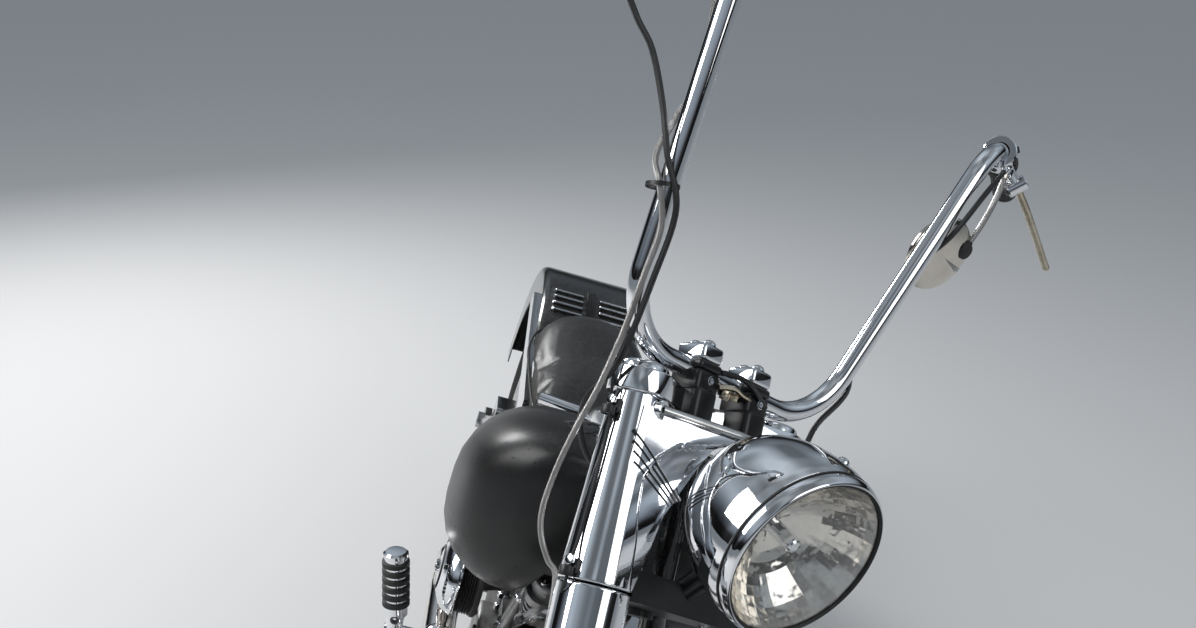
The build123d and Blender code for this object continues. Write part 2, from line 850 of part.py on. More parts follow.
foot_plane = Plane(ground * Pos(stand_foot[0], stand_foot[1], 0))
leg_run = (foot_plane.origin - Vector(*stand_pivot)).normalized()
stowed_run = Vector(-1, 0.18, 0).normalized()
fold_axis = leg_run.cross(stowed_run).normalized()
to_rail = Vector(0, -1, 0) + fold_axis * fold_axis.Y
eye_plane = Plane(origin=stand_pivot, x_dir=to_rail, z_dir=fold_axis)

plate_y = frame_half_width - 8
for node, side in (("frame_left", 1), ("frame_right", -1)):
    with BuildPart() as frame_side:
        bent_tube(
            [
                (452, side * 22, 775),
                (372, side * frame_half_width, rail_height),
                (upright_x, side * frame_half_width, rail_height),
                (upright_x, side * (frame_half_width - 6), 548),
                (-150, side * 17, 594),
            ],
            [110, 70, 60],
            frame_tube,
        )
        for start_height in (rail_height + 40, 524):
            rod(
                (upright_x, side * frame_half_width, start_height),
                (rear_axle_x + 30, side * frame_half_width, rear_tyre_radius + (start_height - 300) * 0.06),
                pivot_stay_radius,
            )
        with BuildSketch(
            Plane(origin=(rear_axle_x, side * plate_y, rear_tyre_radius), x_dir=(1, 0, 0), z_dir=(0, side, 0))
        ) as plate:
            Circle(30)
            with Locations((60, 0)):
                Circle(24)
            make_hull()
        extrude(plate.sketch, amount=axle_plate_thickness)
        with BuildSketch(Plane(origin=rear_centre, x_dir=(1, 0, 0), z_dir=(0, side, 0))) as axle_hole:
            Circle(10)
        extrude(axle_hole.sketch, amount=160, mode=Mode.SUBTRACT)
        if side == 1:
            for ear_start in (eye_half_height + bearing_clearance, -eye_half_height - bearing_clearance - ear_thickness):
                with BuildSketch(eye_plane.offset(ear_start)) as ear:
                    Circle(eye_radius)
                    with Locations((26, 0)):
                        Circle(12)
                    make_hull()
                extrude(ear.sketch, amount=ear_thickness)
            with BuildSketch(eye_plane.offset(-eye_half_height - 2)) as web:
                with Locations((27, 0)):
                    Rectangle(14, 22)
            extrude(web.sketch, amount=2 * eye_half_height + 4)
            with BuildSketch(eye_plane.offset(-eye_half_height - 4)) as pin:
                Circle(stand_pin_radius)
            extrude(pin.sketch, amount=2 * eye_half_height + 8)
        with BuildSketch(head_plane.offset(neck_bottom)) as neck_core:
            Circle(neck_bore + 1)
        extrude(neck_core.sketch, amount=neck_top - neck_bottom, mode=Mode.SUBTRACT)
        add(backbone.part, mode=Mode.SUBTRACT)
    keep(frame_side, node)
    if side == 1:
        frame_left = frame_side
    else:
        frame_right = frame_side

cross_member_table = [
    # x, z, radius
    (300, rail_height, 14),
    (upright_x, rail_height + 60, 14),
    (upright_x, 430, 14),
    (upright_x, 520, 12),
]
with BuildPart() as cross_members:
    for x, z, radius in cross_member_table:
        rod((x, -frame_half_width, z), (x, frame_half_width, z), radius)
    add(frame_left.part, mode=Mode.SUBTRACT)
    add(frame_right.part, mode=Mode.SUBTRACT)
keep(cross_members, "frame_cross_members")

with BuildPart() as rear_axle:
    with BuildSketch(side_plane(rear_centre)):
        with BuildLine():
            plate_out = plate_y + axle_plate_thickness
            Polyline(
                (rear_axle_bore, -plate_out - 12),
                (17, -plate_out - 12),
                (17, -plate_out),
                (10, -plate_out),
                (10, -plate_y),
                (17, -plate_y),
                (17, -60.5),
                (10, -60.5),
                (10, 60.5),
                (17, 60.5),
                (17, plate_y),
                (10, plate_y),
                (10, plate_out),
                (17, plate_out),
                (17, plate_out + 12),
                (rear_axle_bore, plate_out + 12),
                close=True,
            )
        make_face()
    revolve(axis=axle_axis(rear_centre))
keep(rear_axle, "rear_axle")

# Engine: crankcase, two finned cylinders in a narrow V, gearbox and primary cover
def cylinder_plane(lean_forward):
    """Plane on the crank whose normal runs up a cylinder, its X toward the front."""
    radians = math.radians(lean_forward)
    return Plane(
        origin=(crank_x, 0, crank_z),
        x_dir=(math.cos(radians), 0, -math.sin(radians)),
        z_dir=(math.sin(radians), 0, math.cos(radians)),
    )


cylinder_core = 50
with BuildPart() as crankcase:
    with BuildSketch(Plane.XZ):
        with Locations((crank_x, crank_z)):
            Circle(crankcase_radius)
    extrude(amount=crankcase_half_width, both=True)
    for lean_forward in (cylinder_angle, -cylinder_angle):
        with BuildSketch(cylinder_plane(lean_forward)) as deck:
            RectangleRounded(2 * cylinder_core + 6, 2 * cylinder_core + 20, 14)
        extrude(deck.sketch, amount=deck_height)
    with BuildSketch(Plane.XZ.offset(crankcase_half_width)) as cam_cover:
        with Locations((crank_x, crank_z)):
            Circle(74)
        with Locations((crank_x + 40, crank_z + 66), (crank_x - 40, crank_z + 66)):
            Circle(34)
        make_hull()
    extrude(cam_cover.sketch, amount=32)
    fillet(crankcase.faces().sort_by(Axis.Y)[0].edges(), 8)
    with BuildSketch(Plane.XZ) as lugs:
        with Locations((crank_x + 60, rail_height + 4), (crank_x - 60, rail_height + 4)):
            Rectangle(30, 28)
    extrude(lugs.sketch, amount=frame_half_width, both=True)
    add(frame_left.part, mode=Mode.SUBTRACT)
    add(frame_right.part, mode=Mode.SUBTRACT)
keep(crankcase, "crankcase")

port_y = -40
port_height = 236
port_reach = 64
pipe_radius = 22
cylinders = []
cylinder_table = [
    # node, forward lean
    ("cylinder_front", cylinder_angle),
    ("cylinder_rear", -cylinder_angle),
]
for node, lean_forward in cylinder_table:
    base = cylinder_plane(lean_forward)
    with BuildPart() as cylinder:
        with BuildSketch(base.offset(deck_height)) as core:
            Circle(cylinder_core)
        extrude(core.sketch, amount=rocker_start - deck_height)
        height = deck_height + 6
        while height < rocker_start - fin_thickness:
            is_head = height >= head_start
            with BuildSketch(base.offset(height)) as fin:
                RectangleRounded(116 if is_head else 110, 150 if is_head else 136, 24)
            extrude(fin.sketch, amount=fin_thickness)
            height += fin_pitch
        with BuildSketch(base.offset(rocker_start)) as rocker_base:
            RectangleRounded(112, 156, 26)
        extrude(rocker_base.sketch, amount=14)
        with BuildSketch(base.offset(rocker_start + 14)) as rocker_lid:
            RectangleRounded(100, 144, 26)
        extrude(rocker_lid.sketch, amount=rocker_top - rocker_start - 14)
        fillet(cylinder.faces().sort_by(Axis(base.origin, base.z_dir))[-1].edges(), 8)
        rod_side = 1 if lean_forward > 0 else -1
        rod(
            base.from_local_coords(Vector(rod_side * 20, port_y, port_height)),
            base.from_local_coords(Vector(rod_side * port_reach, port_y, port_height)),
            pipe_radius + 5,
        )
        for push_x in (0, 18):
            foot = base.from_local_coords(Vector(rod_side * -4 + push_x - 9, -84, 92))
            top = base.from_local_coords(Vector(rod_side * -4 + push_x - 9, -70, rocker_start + 2))
            rod(tuple(foot), tuple(top), 6)
        add(crankcase.part, mode=Mode.SUBTRACT)
    keep(cylinder, node)
    cylinders.append(cylinder)

primary_inner_y = belt_inner_y + belt_width + 4
primary_outer_y = primary_inner_y + 48
with BuildPart() as gearbox:
    with BuildSketch(Plane.XZ.offset(-78)) as box:
        with Locations((gearbox_x, gearbox_z + 55)):
            Rectangle(150, 110)
        with Locations((gearbox_x, gearbox_z)):
            Circle(84)
    extrude(box.sketch, amount=156)
    with BuildSketch(Plane.XZ.offset(-78)) as pulley_face:
        with Locations((gearbox_x, gearbox_z)):
            Circle(front_pulley_radius)
    extrude(pulley_face.sketch, amount=78 - primary_inner_y)
    add(crankcase.part, mode=Mode.SUBTRACT)
keep(gearbox, "gearbox")

with BuildPart() as primary:
    with BuildSketch(Plane.XZ.offset(-primary_inner_y)) as outline:
        with Locations((crank_x, crank_z + 2)):
            Circle(98)
        with Locations((gearbox_x, gearbox_z + 8)):
            Circle(108)
        make_hull()
    extrude(outline.sketch, amount=primary_inner_y - primary_outer_y)
    fillet(primary.faces().sort_by(Axis.Y)[-1].edges(), 14)
    with BuildSketch(Plane.XZ.offset(-crankcase_half_width)) as seat_ring:
        with Locations((crank_x, crank_z)):
            Circle(70)
    extrude(seat_ring.sketch, amount=crankcase_half_width - primary_inner_y)
keep(primary, "primary_cover")

with BuildPart() as belt:
    with BuildSketch(Plane.XZ.offset(-belt_inner_y)) as loop:
        with Locations((rear_centre[0], rear_centre[2])):
            Circle(pulley_radius + belt_thickness)
        with Locations((gearbox_x, gearbox_z)):
            Circle(front_pulley_radius + belt_thickness)
        make_hull()
        with BuildSketch(mode=Mode.PRIVATE) as inner_loop:
            with Locations((rear_centre[0], rear_centre[2])):
                Circle(pulley_radius)
            with Locations((gearbox_x, gearbox_z)):
                Circle(front_pulley_radius)
            make_hull()
        add(inner_loop.sketch, mode=Mode.SUBTRACT)
    extrude(loop.sketch, amount=-belt_width)
keep(belt, "drive_belt")

# Intake on the right: carburettor between the heads, round air cleaner outside it
intake_height = crank_z + 217
cleaner_radius = 88
with BuildPart() as carburettor:
    with BuildSketch(Plane.XZ.offset(20)) as throat:
        with Locations((crank_x, intake_height)):
            Circle(22)
    extrude(throat.sketch, amount=105)
    with BuildSketch(Plane.XZ.offset(70)) as float_bowl:
        with Locations((crank_x, intake_height - 10)):
            RectangleRounded(52, 76, 10)
    extrude(float_bowl.sketch, amount=50)
    rod((crank_x - 32, port_y, intake_height), (crank_x + 32, port_y, intake_height), 17)
    for cylinder in cylinders:
        add(cylinder.part, mode=Mode.SUBTRACT)
keep(carburettor, "carburettor")

with BuildPart() as air_cleaner:
    with BuildSketch(Plane((crank_x, -125, intake_height), x_dir=(1, 0, 0), z_dir=(0, 0, 1))):
        with BuildLine():
            Polyline((0, 0), (cleaner_radius - 10, 0), (cleaner_radius - 10, -12), (cleaner_radius - 4, -12))
            Line((cleaner_radius - 4, -12), (cleaner_radius - 4, -52))
            ThreePointArc((cleaner_radius - 4, -52), (cleaner_radius - 10, -76), (cleaner_radius - 34, -84))
            ThreePointArc((cleaner_radius - 34, -84), (38, -87), (22, -88))
            Polyline((22, -88), (0, -88), (0, 0))
        make_face()
    revolve(axis=Axis((crank_x, 0, intake_height), (0, 1, 0)))
keep(air_cleaner, "air_cleaner")

# Exhausts: a header and a straight muffler each, open at the end
muffler_radius = 41
muffler_start = -330
muffler_end = -900
exhaust_table = [
    # node, header route, radii, muffler height at its start
    (
        "exhaust_front",
        [
            tuple(cylinder_plane(cylinder_angle).from_local_coords(Vector(port_reach, port_y, port_height))),
            (256, -72, 474),
            (270, -168, 398),
            (190, -182, 232),
            (20, -188, 212),
            (muffler_start, -196, 226),
        ],
        [34, 60, 90, 150],
        226,
    ),
    (
        "exhaust_rear",
        [
            tuple(cylinder_plane(-cylinder_angle).from_local_coords(Vector(-port_reach, port_y, port_height))),
            (-150, -96, 444),
            (-158, -196, 330),
            (muffler_start, -196, 312),
        ],
        [36, 70],
        312,
    ),
]
for node, route, radii, height in exhaust_table:
    with BuildPart() as exhaust:
        bent_tube(route, radii, pipe_radius)
        start = Vector(*route[-1])
        straight = Vector(-1, 0, 0.035)
        with BuildSketch(Plane(origin=start + Vector(20, 0, 0), z_dir=straight)) as neck_end:
            Circle(pipe_radius + 1)
        with BuildSketch(Plane(origin=start + straight * 60, z_dir=straight)) as wide_end:
            Circle(muffler_radius)
        loft(sections=[neck_end.sketch, wide_end.sketch])
        rod(start + straight * 60, start + straight * (muffler_start - muffler_end), muffler_radius)
        with BuildSketch(Plane(origin=start + straight * (muffler_start - muffler_end), z_dir=straight)) as mouth:
            Circle(muffler_radius - 8)
        extrude(mouth.sketch, amount=-80, mode=Mode.SUBTRACT)
        for cylinder in cylinders:
            add(cylinder.part, mode=Mode.SUBTRACT)
    keep(exhaust, node)

with BuildPart() as oil_tank:
    with BuildSketch(Plane.XY.offset(404)) as floor_outline:
        with Locations((-246, 0)):
            RectangleRounded(150, 196, 34)
    extrude(floor_outline.sketch, amount=150)
    fillet(oil_tank.faces().sort_by(Axis.Z)[-1].edges(), 14)
    for frame_piece in (cross_members, backbone, frame_left, frame_right):
        add(frame_piece.part, mode=Mode.SUBTRACT)
keep(oil_tank, "oil_tank")

# Fuel tank halves, lofted through rounded sections from the steering head back to the seat
tank_table = [
    # x, outer y, bottom z, top z, corner radius
    (366, 104, 716, 784, 28),
    (346, 152, 690, 803, 46),
    (290, 204, 648, 806, 66),
    (190, 219, 612, 784, 74),
    (90, 214, 592, 750, 70),
    (-10, 194, 584, 708, 56),
    (-110, 148, 596, 662, 32),
    (-160, 104, 614, 648, 16),
]
tank_nodes = {}
for node, side in (("fuel_tank_left", 1), ("fuel_tank_right", -1)):
    with BuildPart() as tank:
        for x, outer_y, low, high, corner in tank_table:
            with BuildSketch(Plane(origin=(x, 0, 0), x_dir=(0, 1, 0), z_dir=(1, 0, 0))):
                with Locations((side * (tank_inner_y + outer_y) / 2, (low + high) / 2)):
                    RectangleRounded(outer_y - tank_inner_y, high - low, corner)
        loft()
    keep(tank, node)
    tank_nodes[node] = tank

console_half_width = 62
console_height = 42
console_line = [(338, 806), (290, 824), (190, 803), (90, 770), (-10, 728), (-112, 678)]
gauge_plane = Plane(origin=(170, 0, 786), x_dir=(0.94, 0, 0.34), z_dir=(-0.34, 0, 0.94))
with BuildPart() as console:
    with BuildSketch(Plane.XZ) as profile:
        with BuildLine():
            Polyline(*console_line)
            Polyline(*[(x, z - console_height) for x, z in console_line])
            Line(console_line[0], (console_line[0][0], console_line[0][1] - console_height))
            Line(console_line[-1], (console_line[-1][0], console_line[-1][1] - console_height))
        make_face()
    extrude(profile.sketch, amount=console_half_width, both=True)
    fillet(console.edges().filter_by(Axis.Y).sort_by(Axis.X)[-1], 8)
    with BuildSketch(gauge_plane) as face:
        Circle(47)
    extrude(face.sketch, amount=30)
    for tank in tank_nodes.values():
        add(tank.part, mode=Mode.SUBTRACT)
    add(backbone.part, mode=Mode.SUBTRACT)
keep(console, "tank_console")

# Seat: slim solo saddle, chrome roll along its nose
with BuildPart() as seat:
    with BuildSketch(Plane.XZ) as side_view:
        with BuildLine():
            ThreePointArc((-186, 650), (-390, 640), (-612, 672))
            Line((-612, 672), (-618, 612))
            Line((-618, 612), (-186, 604))
            Line((-186, 604), (-186, 650))
        make_face()
    extrude(side_view.sketch, amount=seat_half_width, both=True)
    with BuildSketch(Plane.XY.offset(500)) as plan:
        with BuildLine():
            ThreePointArc((-200, -84), (-184, 0), (-200, 84))
            ThreePointArc((-200, 84), (-330, seat_half_width - 8), (-480, seat_half_width))
            ThreePointArc((-480, seat_half_width), (-592, 82), (-610, 0))
            ThreePointArc((-610, 0), (-592, -82), (-480, -seat_half_width))
            ThreePointArc((-480, -seat_half_width), (-330, 8 - seat_half_width), (-200, -84))
        make_face()
    extrude(plan.sketch, amount=300, mode=Mode.INTERSECT)
    add(backbone.part, mode=Mode.SUBTRACT)
keep(seat, "seat")

with BuildPart() as seat_trim:
    bent_tube([(-212, -96, 640), (-172, 0, 646), (-212, 96, 640)], [150], 10)
    add(seat.part, mode=Mode.SUBTRACT)
keep(seat_trim, "seat_trim")

# Rear fender: flat crown and upright sides swept round the wheel, with two rows of louvres
fender_inside = rear_tyre_radius + fender_gap
with BuildPart() as rear_fender:
    with BuildSketch(side_plane(rear_centre, 50)) as section:
        half = fender_half_width
        inner = half - sheet
        with BuildLine():
            FilletPolyline(
                (fender_inside - 66, -half),
                (fender_inside + sheet, -half),
                (fender_inside + sheet, half),
                (fender_inside - 66, half),
                radius=14,
            )
            Line((fender_inside - 66, half), (fender_inside - 66, inner))
            FilletPolyline(
                (fender_inside - 66, inner),
                (fender_inside, inner),
                (fender_inside, -inner),
                (fender_inside - 66, -inner),
                radius=14 - sheet,
            )
            Line((fender_inside - 66, -inner), (fender_inside - 66, -half))
        make_face()
    revolve(section.sketch, axis=axle_axis(rear_centre), revolution_arc=-122)
    for count in range(louvre_count):
        angle = math.radians(66 + (count + 0.5) * louvre_pitch)
        outward = Vector(math.cos(angle), 0, math.sin(angle))
        crown = Vector(*rear_centre) + outward * (fender_inside + sheet)
        along = Vector(math.sin(angle), 0, -math.cos(angle))
        for side in (1, -1):
            start = crown + Vector(0, side * 46 + louvre_length / 2, 0)
            with BuildSketch(Plane(origin=start, x_dir=along, z_dir=(0, -1, 0))) as lip:
                with BuildLine():
                    Line((-7, -1), (-7, 0))
                    ThreePointArc((-7, 0), (-1, 5), (7, 6.5))
                    Polyline((7, 6.5), (7, -1), (-7, -1))
                make_face()
            extrude(lip.sketch, amount=louvre_length)
keep(rear_fender, "rear_fender")

strut_inner_y = fender_half_width
with BuildPart() as struts:
    for side in (1, -1):
        with BuildSketch(Plane(origin=(0, side * strut_inner_y, 0), x_dir=(1, 0, 0), z_dir=(0, -1, 0))) as strut:
            with BuildLine():
                Polyline(
                    (upright_x + 15, 504),
                    (upright_x + 1, 578),
                    (rear_axle_x + 205.266, 596),
                    (rear_axle_x + 15.266, 630),
                    (rear_axle_x - 8.734, 600),
                    (rear_axle_x + 215.266, 558),
                    close=True,
                )
            make_face()
        extrude(strut.sketch, amount=-side * 11)
        rod((upright_x + 4, side * strut_inner_y, 520), (upright_x + 4, side * frame_half_width, 520), 9)
    for frame_piece in (frame_left, frame_right, cross_members):
        add(frame_piece.part, mode=Mode.SUBTRACT)
keep(struts, "fender_struts")

with BuildPart() as tail_light:
    tail_angle = 140
    tail_plane = Plane(
        origin=Vector(*rear_centre)
        + Vector(math.cos(math.radians(tail_angle)), 0, math.sin(math.radians(tail_angle))) * (fender_inside + sheet),
        x_dir=(0, 1, 0),
        z_dir=(math.cos(math.radians(tail_angle)), 0, math.sin(math.radians(tail_angle))),
    )
    with BuildSketch(tail_plane) as base_outline:
        RectangleRounded(96, 56, 20)
    extrude(base_outline.sketch, amount=42)
    fillet(tail_light.faces().sort_by(Axis(tail_plane.origin, tail_plane.z_dir))[-1].edges(), 12)
keep(tail_light, "tail_light")

plate_angle = 156
plate_base = Vector(*rear_centre) + Vector(
    math.cos(math.radians(plate_angle)), 0, math.sin(math.radians(plate_angle))
) * (fender_inside + sheet)
plate_hole_spacing = 150
plate_hole_radius = 3.5
plate_plane = Plane(origin=plate_base + Vector(-34, 0, -10), x_dir=(0, 1, 0), z_dir=(-0.96, 0, 0.28))
with BuildPart() as plate_bracket:
    rod(plate_base, plate_base + Vector(-34, 0, 6), 12)
    with BuildSketch(plate_plane) as plate:
        RectangleRounded(180, 104, 8)
        with Locations((plate_hole_spacing / 2, 0), (-plate_hole_spacing / 2, 0)):
            Circle(plate_hole_radius, mode=Mode.SUBTRACT)
    extrude(plate.sketch, amount=3)
    with BuildSketch(Plane.XZ) as crown:
        with Locations((rear_axle_x, rear_tyre_radius)):
            Circle(fender_inside + sheet)
    extrude(crown.sketch, amount=fender_half_width, both=True, mode=Mode.SUBTRACT)
keep(plate_bracket, "number_plate")

with BuildPart() as rear_caliper:
    rear_disc_middle = -(60 + disc_offset + disc_thickness / 2)
    with BuildSketch(Plane.XZ.offset(-rear_disc_middle - 16)):
        with Locations((rear_axle_x + disc_radius - 48, rear_tyre_radius + disc_radius - 84)):
            RectangleRounded(80, 56, 12)
    extrude(amount=frame_half_width - 60)
    with BuildSketch(Plane.XZ.offset(-rear_disc_middle - slot_half)) as slot:
        with Locations((rear_centre[0], rear_centre[2])):
            Circle(disc_radius + disc_clearance)
    extrude(slot.sketch, amount=2 * slot_half, mode=Mode.SUBTRACT)
    add(frame_right.part, mode=Mode.SUBTRACT)
keep(rear_caliper, "rear_caliper")

# Foot controls: pegs folded up on their clevises, brake pedal right and shift lever left
peg_x = 80
peg_height = 352
with BuildPart() as foot_controls:
    for side, anchor_y in ((-1, 108), (1, primary_outer_y - 4)):
        rod((peg_x, side * anchor_y, peg_height - 16), (peg_x, side * 250, peg_height - 16), 10)
        rod((peg_x, side * 236, peg_height - 16), (peg_x, side * 238, peg_height + 14), 13)
        rod((peg_x, side * 238, peg_height + 12), (peg_x, side * 262, peg_height + 106), 17)
        bent_tube(
            [
                (peg_x + 4, side * 190, peg_height - 16),
                (peg_x + 70, side * 200, peg_height - 6),
                (peg_x + 118, side * 206, peg_height + 40),
            ],
            [30],
            8,
        )
        rod((peg_x + 118, side * 190, peg_height + 40), (peg_x + 118, side * 236, peg_height + 40), 15)
    add(crankcase.part, mode=Mode.SUBTRACT)
    add(primary.part, mode=Mode.SUBTRACT)
keep(foot_controls, "foot_controls")

# Side stand: a leg from its pivot on the left rail to a pad flat on the ground
with BuildPart() as side_stand:
    with BuildSketch(foot_plane) as pad:
        Ellipse(foot_pad_radius + 10, foot_pad_radius)
    extrude(pad.sketch, amount=foot_pad_thickness)
    rod(foot_plane.origin + foot_plane.z_dir * (foot_pad_thickness + 2), stand_pivot, stand_radius)
    with BuildSketch(eye_plane.offset(-eye_half_height)) as eye:
        Circle(eye_radius)
    extrude(eye.sketch, amount=2 * eye_half_height)
    with BuildSketch(eye_plane.offset(-eye_half_height)) as eye_bore:
        Circle(stand_pin_radius + running_clearance)
    extrude(eye_bore.sketch, amount=2 * eye_half_height, mode=Mode.SUBTRACT)
keep(side_stand, "side_stand")

# Park the bike: put every piece on the ground frame, centred under its own box
placed = []
for piece, node, place in assembly:
    piece.part = piece.part.moved(parked * place)
    piece.part.label = node
    placed.append(piece.part.bounding_box())
low_x = min(box.min.X for box in placed)
high_x = max(box.max.X for box in placed)
low_y = min(box.min.Y for box in placed)
high_y = max(box.max.Y for box in placed)
centring = Pos(-(low_x + high_x) / 2, -(low_y + high_y) / 2, 0)

os.makedirs("parts", exist_ok=True)
for piece, node, place in assembly:
    piece.part = piece.part.moved(centring)
    piece.part.label = node
    export_step(piece.part, "parts/" + node + ".step")
    print(node, "volume", round(piece.part.volume / 1000), "cm3")


# Places that joints and mounts use, in metres on the parked bike
def report(name, place, direction=(0, 0, 1)):
    """Print a point and a direction of a local frame as they stand on the parked bike."""
    world = centring * parked * place
    point = world.position
    tip = (world * Pos(*direction)).position
    axis = (tip - point).normalized()
    print(
        name,
        [round(value / 1000, 5) for value in point],
        [round(value, 5) for value in axis],
    )


report("steering", turned_fork)
report("front_axle", turned_fork * Pos(*front_centre), (0, 1, 0))
report("rear_axle", Pos(*rear_centre), (0, 1, 0))
report("side_stand", Pos(*stand_pivot), tuple(fold_axis))
print("side_stand folds by", round(math.degrees(math.acos(leg_run.dot(stowed_run))), 1))
report("plate", plate_plane.location, (0, 0, 1))
print("pitch", round(pitch, 3), "box", round(high_x - low_x), round(high_y - low_y), round(max(b.max.Z for b in placed)))
print("bottom", round(min(b.min.Z for b in placed), 2))
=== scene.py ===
import json
import math
import random

import bmesh
import bpy
from mathutils import Matrix, Vector


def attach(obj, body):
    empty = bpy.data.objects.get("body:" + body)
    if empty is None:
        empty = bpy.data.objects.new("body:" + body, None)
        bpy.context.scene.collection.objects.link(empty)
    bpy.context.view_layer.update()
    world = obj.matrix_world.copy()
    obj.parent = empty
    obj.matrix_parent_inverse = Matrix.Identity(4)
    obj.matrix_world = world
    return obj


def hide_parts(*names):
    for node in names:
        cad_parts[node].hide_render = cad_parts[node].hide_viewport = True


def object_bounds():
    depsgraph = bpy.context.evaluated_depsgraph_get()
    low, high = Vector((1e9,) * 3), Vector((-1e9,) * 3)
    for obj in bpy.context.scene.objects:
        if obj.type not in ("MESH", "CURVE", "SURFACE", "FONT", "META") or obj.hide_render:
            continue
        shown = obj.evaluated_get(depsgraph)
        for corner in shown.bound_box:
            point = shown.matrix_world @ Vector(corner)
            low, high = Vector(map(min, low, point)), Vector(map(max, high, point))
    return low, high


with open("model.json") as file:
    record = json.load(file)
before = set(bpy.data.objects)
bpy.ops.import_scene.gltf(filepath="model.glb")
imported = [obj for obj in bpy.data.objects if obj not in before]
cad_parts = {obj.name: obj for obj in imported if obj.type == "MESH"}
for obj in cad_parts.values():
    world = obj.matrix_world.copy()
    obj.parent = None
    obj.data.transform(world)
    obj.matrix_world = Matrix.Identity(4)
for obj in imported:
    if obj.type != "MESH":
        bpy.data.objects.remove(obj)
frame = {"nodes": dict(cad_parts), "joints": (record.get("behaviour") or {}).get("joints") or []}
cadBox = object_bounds()
nodes = frame["nodes"]
joints = {joint["name"]: joint for joint in frame["joints"]}
scene = bpy.context.scene
print("frame loaded:", len(nodes), "nodes")


# Working frames in millimetres: the turned fork's, the leaning bike's and the headlight's
def shift(*step):
    return Matrix.Translation(step)


def turned(degrees, axis):
    return Matrix.Rotation(math.radians(degrees), 4, axis)


def circlePoint(radius, turn, height=0.0):
    return Vector((radius * math.cos(turn), radius * math.sin(turn), height))


def jointAxis(name):
    return Vector(joints[name]["axis"]).normalized()


def frameMatrix(joint, across, up):
    forward = across.cross(up).normalized()
    turn = Matrix((forward, across, up)).transposed().to_4x4()
    return shift(*joints[joint]["pos_m"]) @ turn @ Matrix.Scale(0.001, 4)


rake = math.radians(32)
steeringAxis = jointAxis("steering")
bikeAcross = jointAxis("rear_wheel_spin")
bikeUp = math.cos(rake) * steeringAxis + math.sin(rake) * bikeAcross.cross(steeringAxis)
forkFrame = frameMatrix("steering", jointAxis("front_wheel_spin"), steeringAxis)
rearCentre = Vector((-815.27, 0, 321))
frontCentre = Vector((45, 0, -737.98))
bikeFrame = frameMatrix("rear_wheel_spin", bikeAcross, bikeUp.normalized()) @ shift(*-rearCentre)
lampFrame = forkFrame @ shift(214, 0, -169) @ turned(122, "Y")
still = Matrix.Identity(4)


# Shader groups that several finishes share
def feed(tree, value, socket):
    # a number or a colour is set, an output is linked
    if isinstance(value, (int, float)):
        socket.default_value = value
    elif isinstance(value, tuple):
        socket.default_value = (*value, 1)
    else:
        tree.links.new(value, socket)


def newGroup(name, inputs, output):
    group = bpy.data.node_groups.new(name, "ShaderNodeTree")
    for label, start in inputs.items():
        socket = group.interface.new_socket(label, in_out="INPUT", socket_type="NodeSocketFloat")
        socket.default_value = start
    group.interface.new_socket(output, in_out="OUTPUT", socket_type="NodeSocketFloat")
    enter, leave = group.nodes.new("NodeGroupInput"), group.nodes.new("NodeGroupOutput")
    coords = group.nodes.new("ShaderNodeTexCoord")
    return group, enter.outputs, leave.inputs, coords.outputs["Object"]


def mathNode(tree, operation, first, second, clamp=False):
    node = tree.nodes.new("ShaderNodeMath")
    node.operation = operation
    node.use_clamp = clamp
    feed(tree, first, node.inputs[0])
    feed(tree, second, node.inputs[1])
    return node.outputs[0]


def spreadNode(tree, value, low, high, newLow=0.0, newHigh=1.0):
    node = tree.nodes.new("ShaderNodeMapRange")
    labels = ("Value", "From Min", "From Max", "To Min", "To Max")
    for label, number in zip(labels, (value, low, high, newLow, newHigh)):
        feed(tree, number, node.inputs[label])
    return node.outputs["Result"]


def noiseNode(tree, coords, scale, detail, roughness=0.55):
    node = tree.nodes.new("ShaderNodeTexNoise")
    for label, value in zip(("Vector", "Scale", "Detail", "Roughness"), (coords, scale, detail, roughness)):
        feed(tree, value, node.inputs[label])
    return node.outputs["Fac"]


def cellNode(group, coords, scale, feature):
    cells = group.nodes.new("ShaderNodeTexVoronoi")
    cells.feature = feature
    group.links.new(coords, cells.inputs["Vector"])
    group.links.new(scale, cells.inputs["Scale"])
    return cells.outputs["Distance"]


def buildSmudgeGroup():
    # handling marks and dried haze: broad clouds broken up by finer streaks
    group, enter, leave, coords = newGroup("smudge", {"Scale": 12.0, "Amount": 1.0}, "Mask")
    broad = spreadNode(group, noiseNode(group, coords, enter["Scale"], 5.0, 0.6), 0.42, 0.72)
    fine = noiseNode(group, coords, mathNode(group, "MULTIPLY", enter["Scale"], 9.0), 3.0)
    mask = mathNode(group, "MULTIPLY", broad, spreadNode(group, fine, 0.3, 0.75, 0.35))
    group.links.new(mathNode(group, "MULTIPLY", mask, enter["Amount"], True), leave["Mask"])
    return group


def buildDustGroup():
    # dust settles on faces that look up and thins out with noise
    group, enter, leave, coords = newGroup("dust", {"Scale": 40.0, "Amount": 0.5}, "Mask")
    split = group.nodes.new("ShaderNodeSeparateXYZ")
    group.links.new(group.nodes.new("ShaderNodeNewGeometry").outputs["Normal"], split.inputs[0])
    up = spreadNode(group, split.outputs["Z"], 0.1, 1.0)
    speckle = spreadNode(group, noiseNode(group, coords, enter["Scale"], 6.0, 0.7), 0.38, 0.7)
    mask = mathNode(group, "MULTIPLY", up, speckle)
    group.links.new(mathNode(group, "MULTIPLY", mask, enter["Amount"], True), leave["Mask"])
    return group


def buildGrainGroup(name, detail, roughness):
    group, enter, leave, coords = newGroup(name, {"Scale": 300.0}, "Height")
    group.links.new(noiseNode(group, coords, enter["Scale"], detail, roughness), leave["Height"])
    return group


